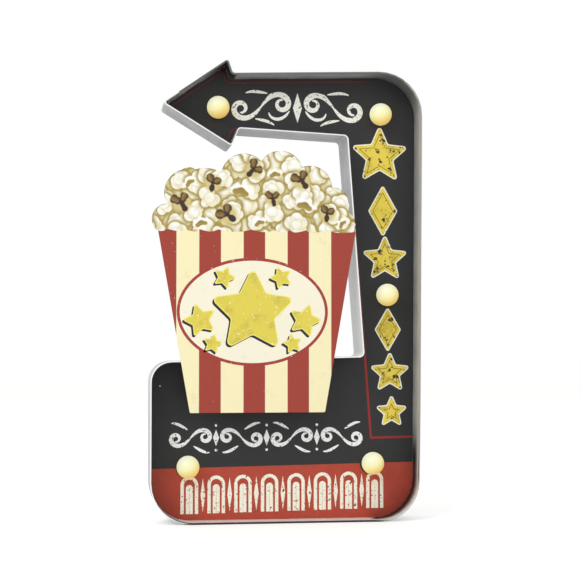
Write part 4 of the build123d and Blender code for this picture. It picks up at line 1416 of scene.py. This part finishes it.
class LEDSIGN_OT_wiring(bpy.types.Operator):
    """Dress the leads and the clips that hold them."""

    bl_idname = "led_sign.wiring"
    bl_label = "Leads and clips"

    def execute(self, context):
        for run in ("feed", "base", "column", "side", "bar"):
            for colour in ("red", "black"):
                softened(f"lead_{colour}_{run}", f"{colour}_insulation", 0, smooth=75)
        softened("lead_clips", "clear_plastic", 0.2)
        return {"FINISHED"}


class LEDSIGN_OT_metal_fittings(bpy.types.Operator):
    """Dress the keyhole hangers and the panel's brackets."""

    bl_idname = "led_sign.metal_fittings"
    bl_label = "Hangers and brackets"

    def execute(self, context):
        for node in ("hangers", "panel_bracket_left", "panel_bracket_right"):
            softened(node, "galvanised", 0.2)
        return {"FINISHED"}


# Stage


class LEDSIGN_OT_stage(bpy.types.Operator):
    """Set the floor, the lights, the white surroundings and the camera."""

    bl_idname = "led_sign.stage"
    bl_label = "Stage"

    def execute(self, context):
        settings = context.scene.led_sign_stage
        context.scene.view_settings.view_transform = "Standard"
        self.floor()
        self.surroundings(settings.sky)
        self.lamp("key", (-1.3, -1.3, 1.6), 1.2, settings.key_power)
        self.lamp("fill", (1.4, -1.1, 0.7), 1.0, settings.fill_power)
        self.lamp("behind", (0.2, 1.6, 1.1), 1.0, settings.fill_power)
        camera = linked("camera", bpy.data.cameras.new("camera"))
        camera.data.lens = settings.lens
        camera.data.sensor_width = SENSOR_WIDTH
        camera.location = CAMERA_PLACE
        upwards, right = CAMERA_TURNS
        camera.rotation_euler = (radians(90 + upwards), 0, radians(-right))
        context.scene.camera = camera
        return {"FINISHED"}

    def floor(self):
        """Large white floor that looks pure white to the camera where it is lit and keeps the shadow."""
        mesh = bpy.data.meshes.new("floor")
        corners = np.array(((-1, -1, 0), (1, -1, 0), (1, 1, 0), (-1, 1, 0))) * 6.0
        mesh.from_pydata(corners.tolist(), [], [(0, 1, 2, 3)])
        material = bpy.data.materials.new("floor")
        shader = Shader(material)
        seen = shader.node("ShaderNodeLightPath", output="Is Camera Ray")
        glow = shader.mix(seen * 0.3, (0, 0, 0), (255, 255, 255))
        shader.feed(Base_Color=(246, 246, 244), Roughness=0.9, Specular_IOR_Level=0.1)
        shader.feed(Emission_Color=glow, Emission_Strength=1.0)
        mesh.materials.append(material)
        linked("floor", mesh)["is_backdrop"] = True

    def surroundings(self, strength):
        """World that lights evenly but looks white to the camera and in reflections."""
        world = bpy.data.worlds.new("surroundings")
        bpy.context.scene.world = world
        shader = Shader(world, "Background")
        rays = [shader.node("ShaderNodeLightPath", output=ray) for ray in ("Is Camera Ray", "Is Glossy Ray")]
        seen = shader.math("MAXIMUM", *rays)
        shader.feed(Color=(255, 255, 255), Strength=seen * (1 - strength) + strength)

    def lamp(self, name, place, size, power):
        """Large soft light aimed at the sign's middle."""
        lamp = linked(name, bpy.data.lights.new(name, "AREA"))
        lamp.data.size = size
        lamp.data.energy = power
        lamp.location = place
        middle = (cad_bounds[0] + cad_bounds[1]) / 2
        lamp.rotation_euler = (middle - lamp.location).to_track_quat("-Z", "Y").to_euler()


class LEDSIGN_PT_panel(bpy.types.Panel):
    """Lists the sign's pieces and settings."""

    bl_idname = "LEDSIGN_PT_panel"
    bl_label = "Arrow LED sign"
    bl_space_type = "VIEW_3D"
    bl_region_type = "UI"
    bl_category = "LED sign"

    def draw(self, context):
        for name, group in GROUPS.items():
            box = self.layout.box()
            for setting in group.__annotations__:
                box.prop(getattr(context.scene, name), setting)
        for operator in OPERATORS:
            self.layout.operator(operator.bl_idname)


GROUPS = {
    "led_sign_wall": WallSettings,
    "led_sign_print": PrintSettings,
    "led_sign_popcorn": PopcornSettings,
    "led_sign_stage": StageSettings,
}
OPERATORS = (
    LEDSIGN_OT_walls,
    LEDSIGN_OT_face_print,
    LEDSIGN_OT_popcorn_panel,
    LEDSIGN_OT_globes,
    LEDSIGN_OT_battery_box,
    LEDSIGN_OT_wiring,
    LEDSIGN_OT_metal_fittings,
    LEDSIGN_OT_stage,
)


def register():
    for name, group in GROUPS.items():
        bpy.utils.register_class(group)
        setattr(bpy.types.Scene, name, PointerProperty(type=group))
    for cls in (*OPERATORS, LEDSIGN_PT_panel):
        bpy.utils.register_class(cls)


def unregister():
    for cls in (LEDSIGN_PT_panel, *reversed(OPERATORS)):
        bpy.utils.unregister_class(cls)
    for name, group in GROUPS.items():
        delattr(bpy.types.Scene, name)
        bpy.utils.unregister_class(group)


def main():
    """Make every piece and the stage."""
    register()
    for operator in OPERATORS:
        group, name = operator.bl_idname.split(".")
        getattr(getattr(bpy.ops, group), name)()
    sizes = {"cad": cad_bounds, "visual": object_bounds()}
    {name: [list(corner) for corner in corners] for name, corners in sizes.items()}


if __name__ == "__main__":
    main()
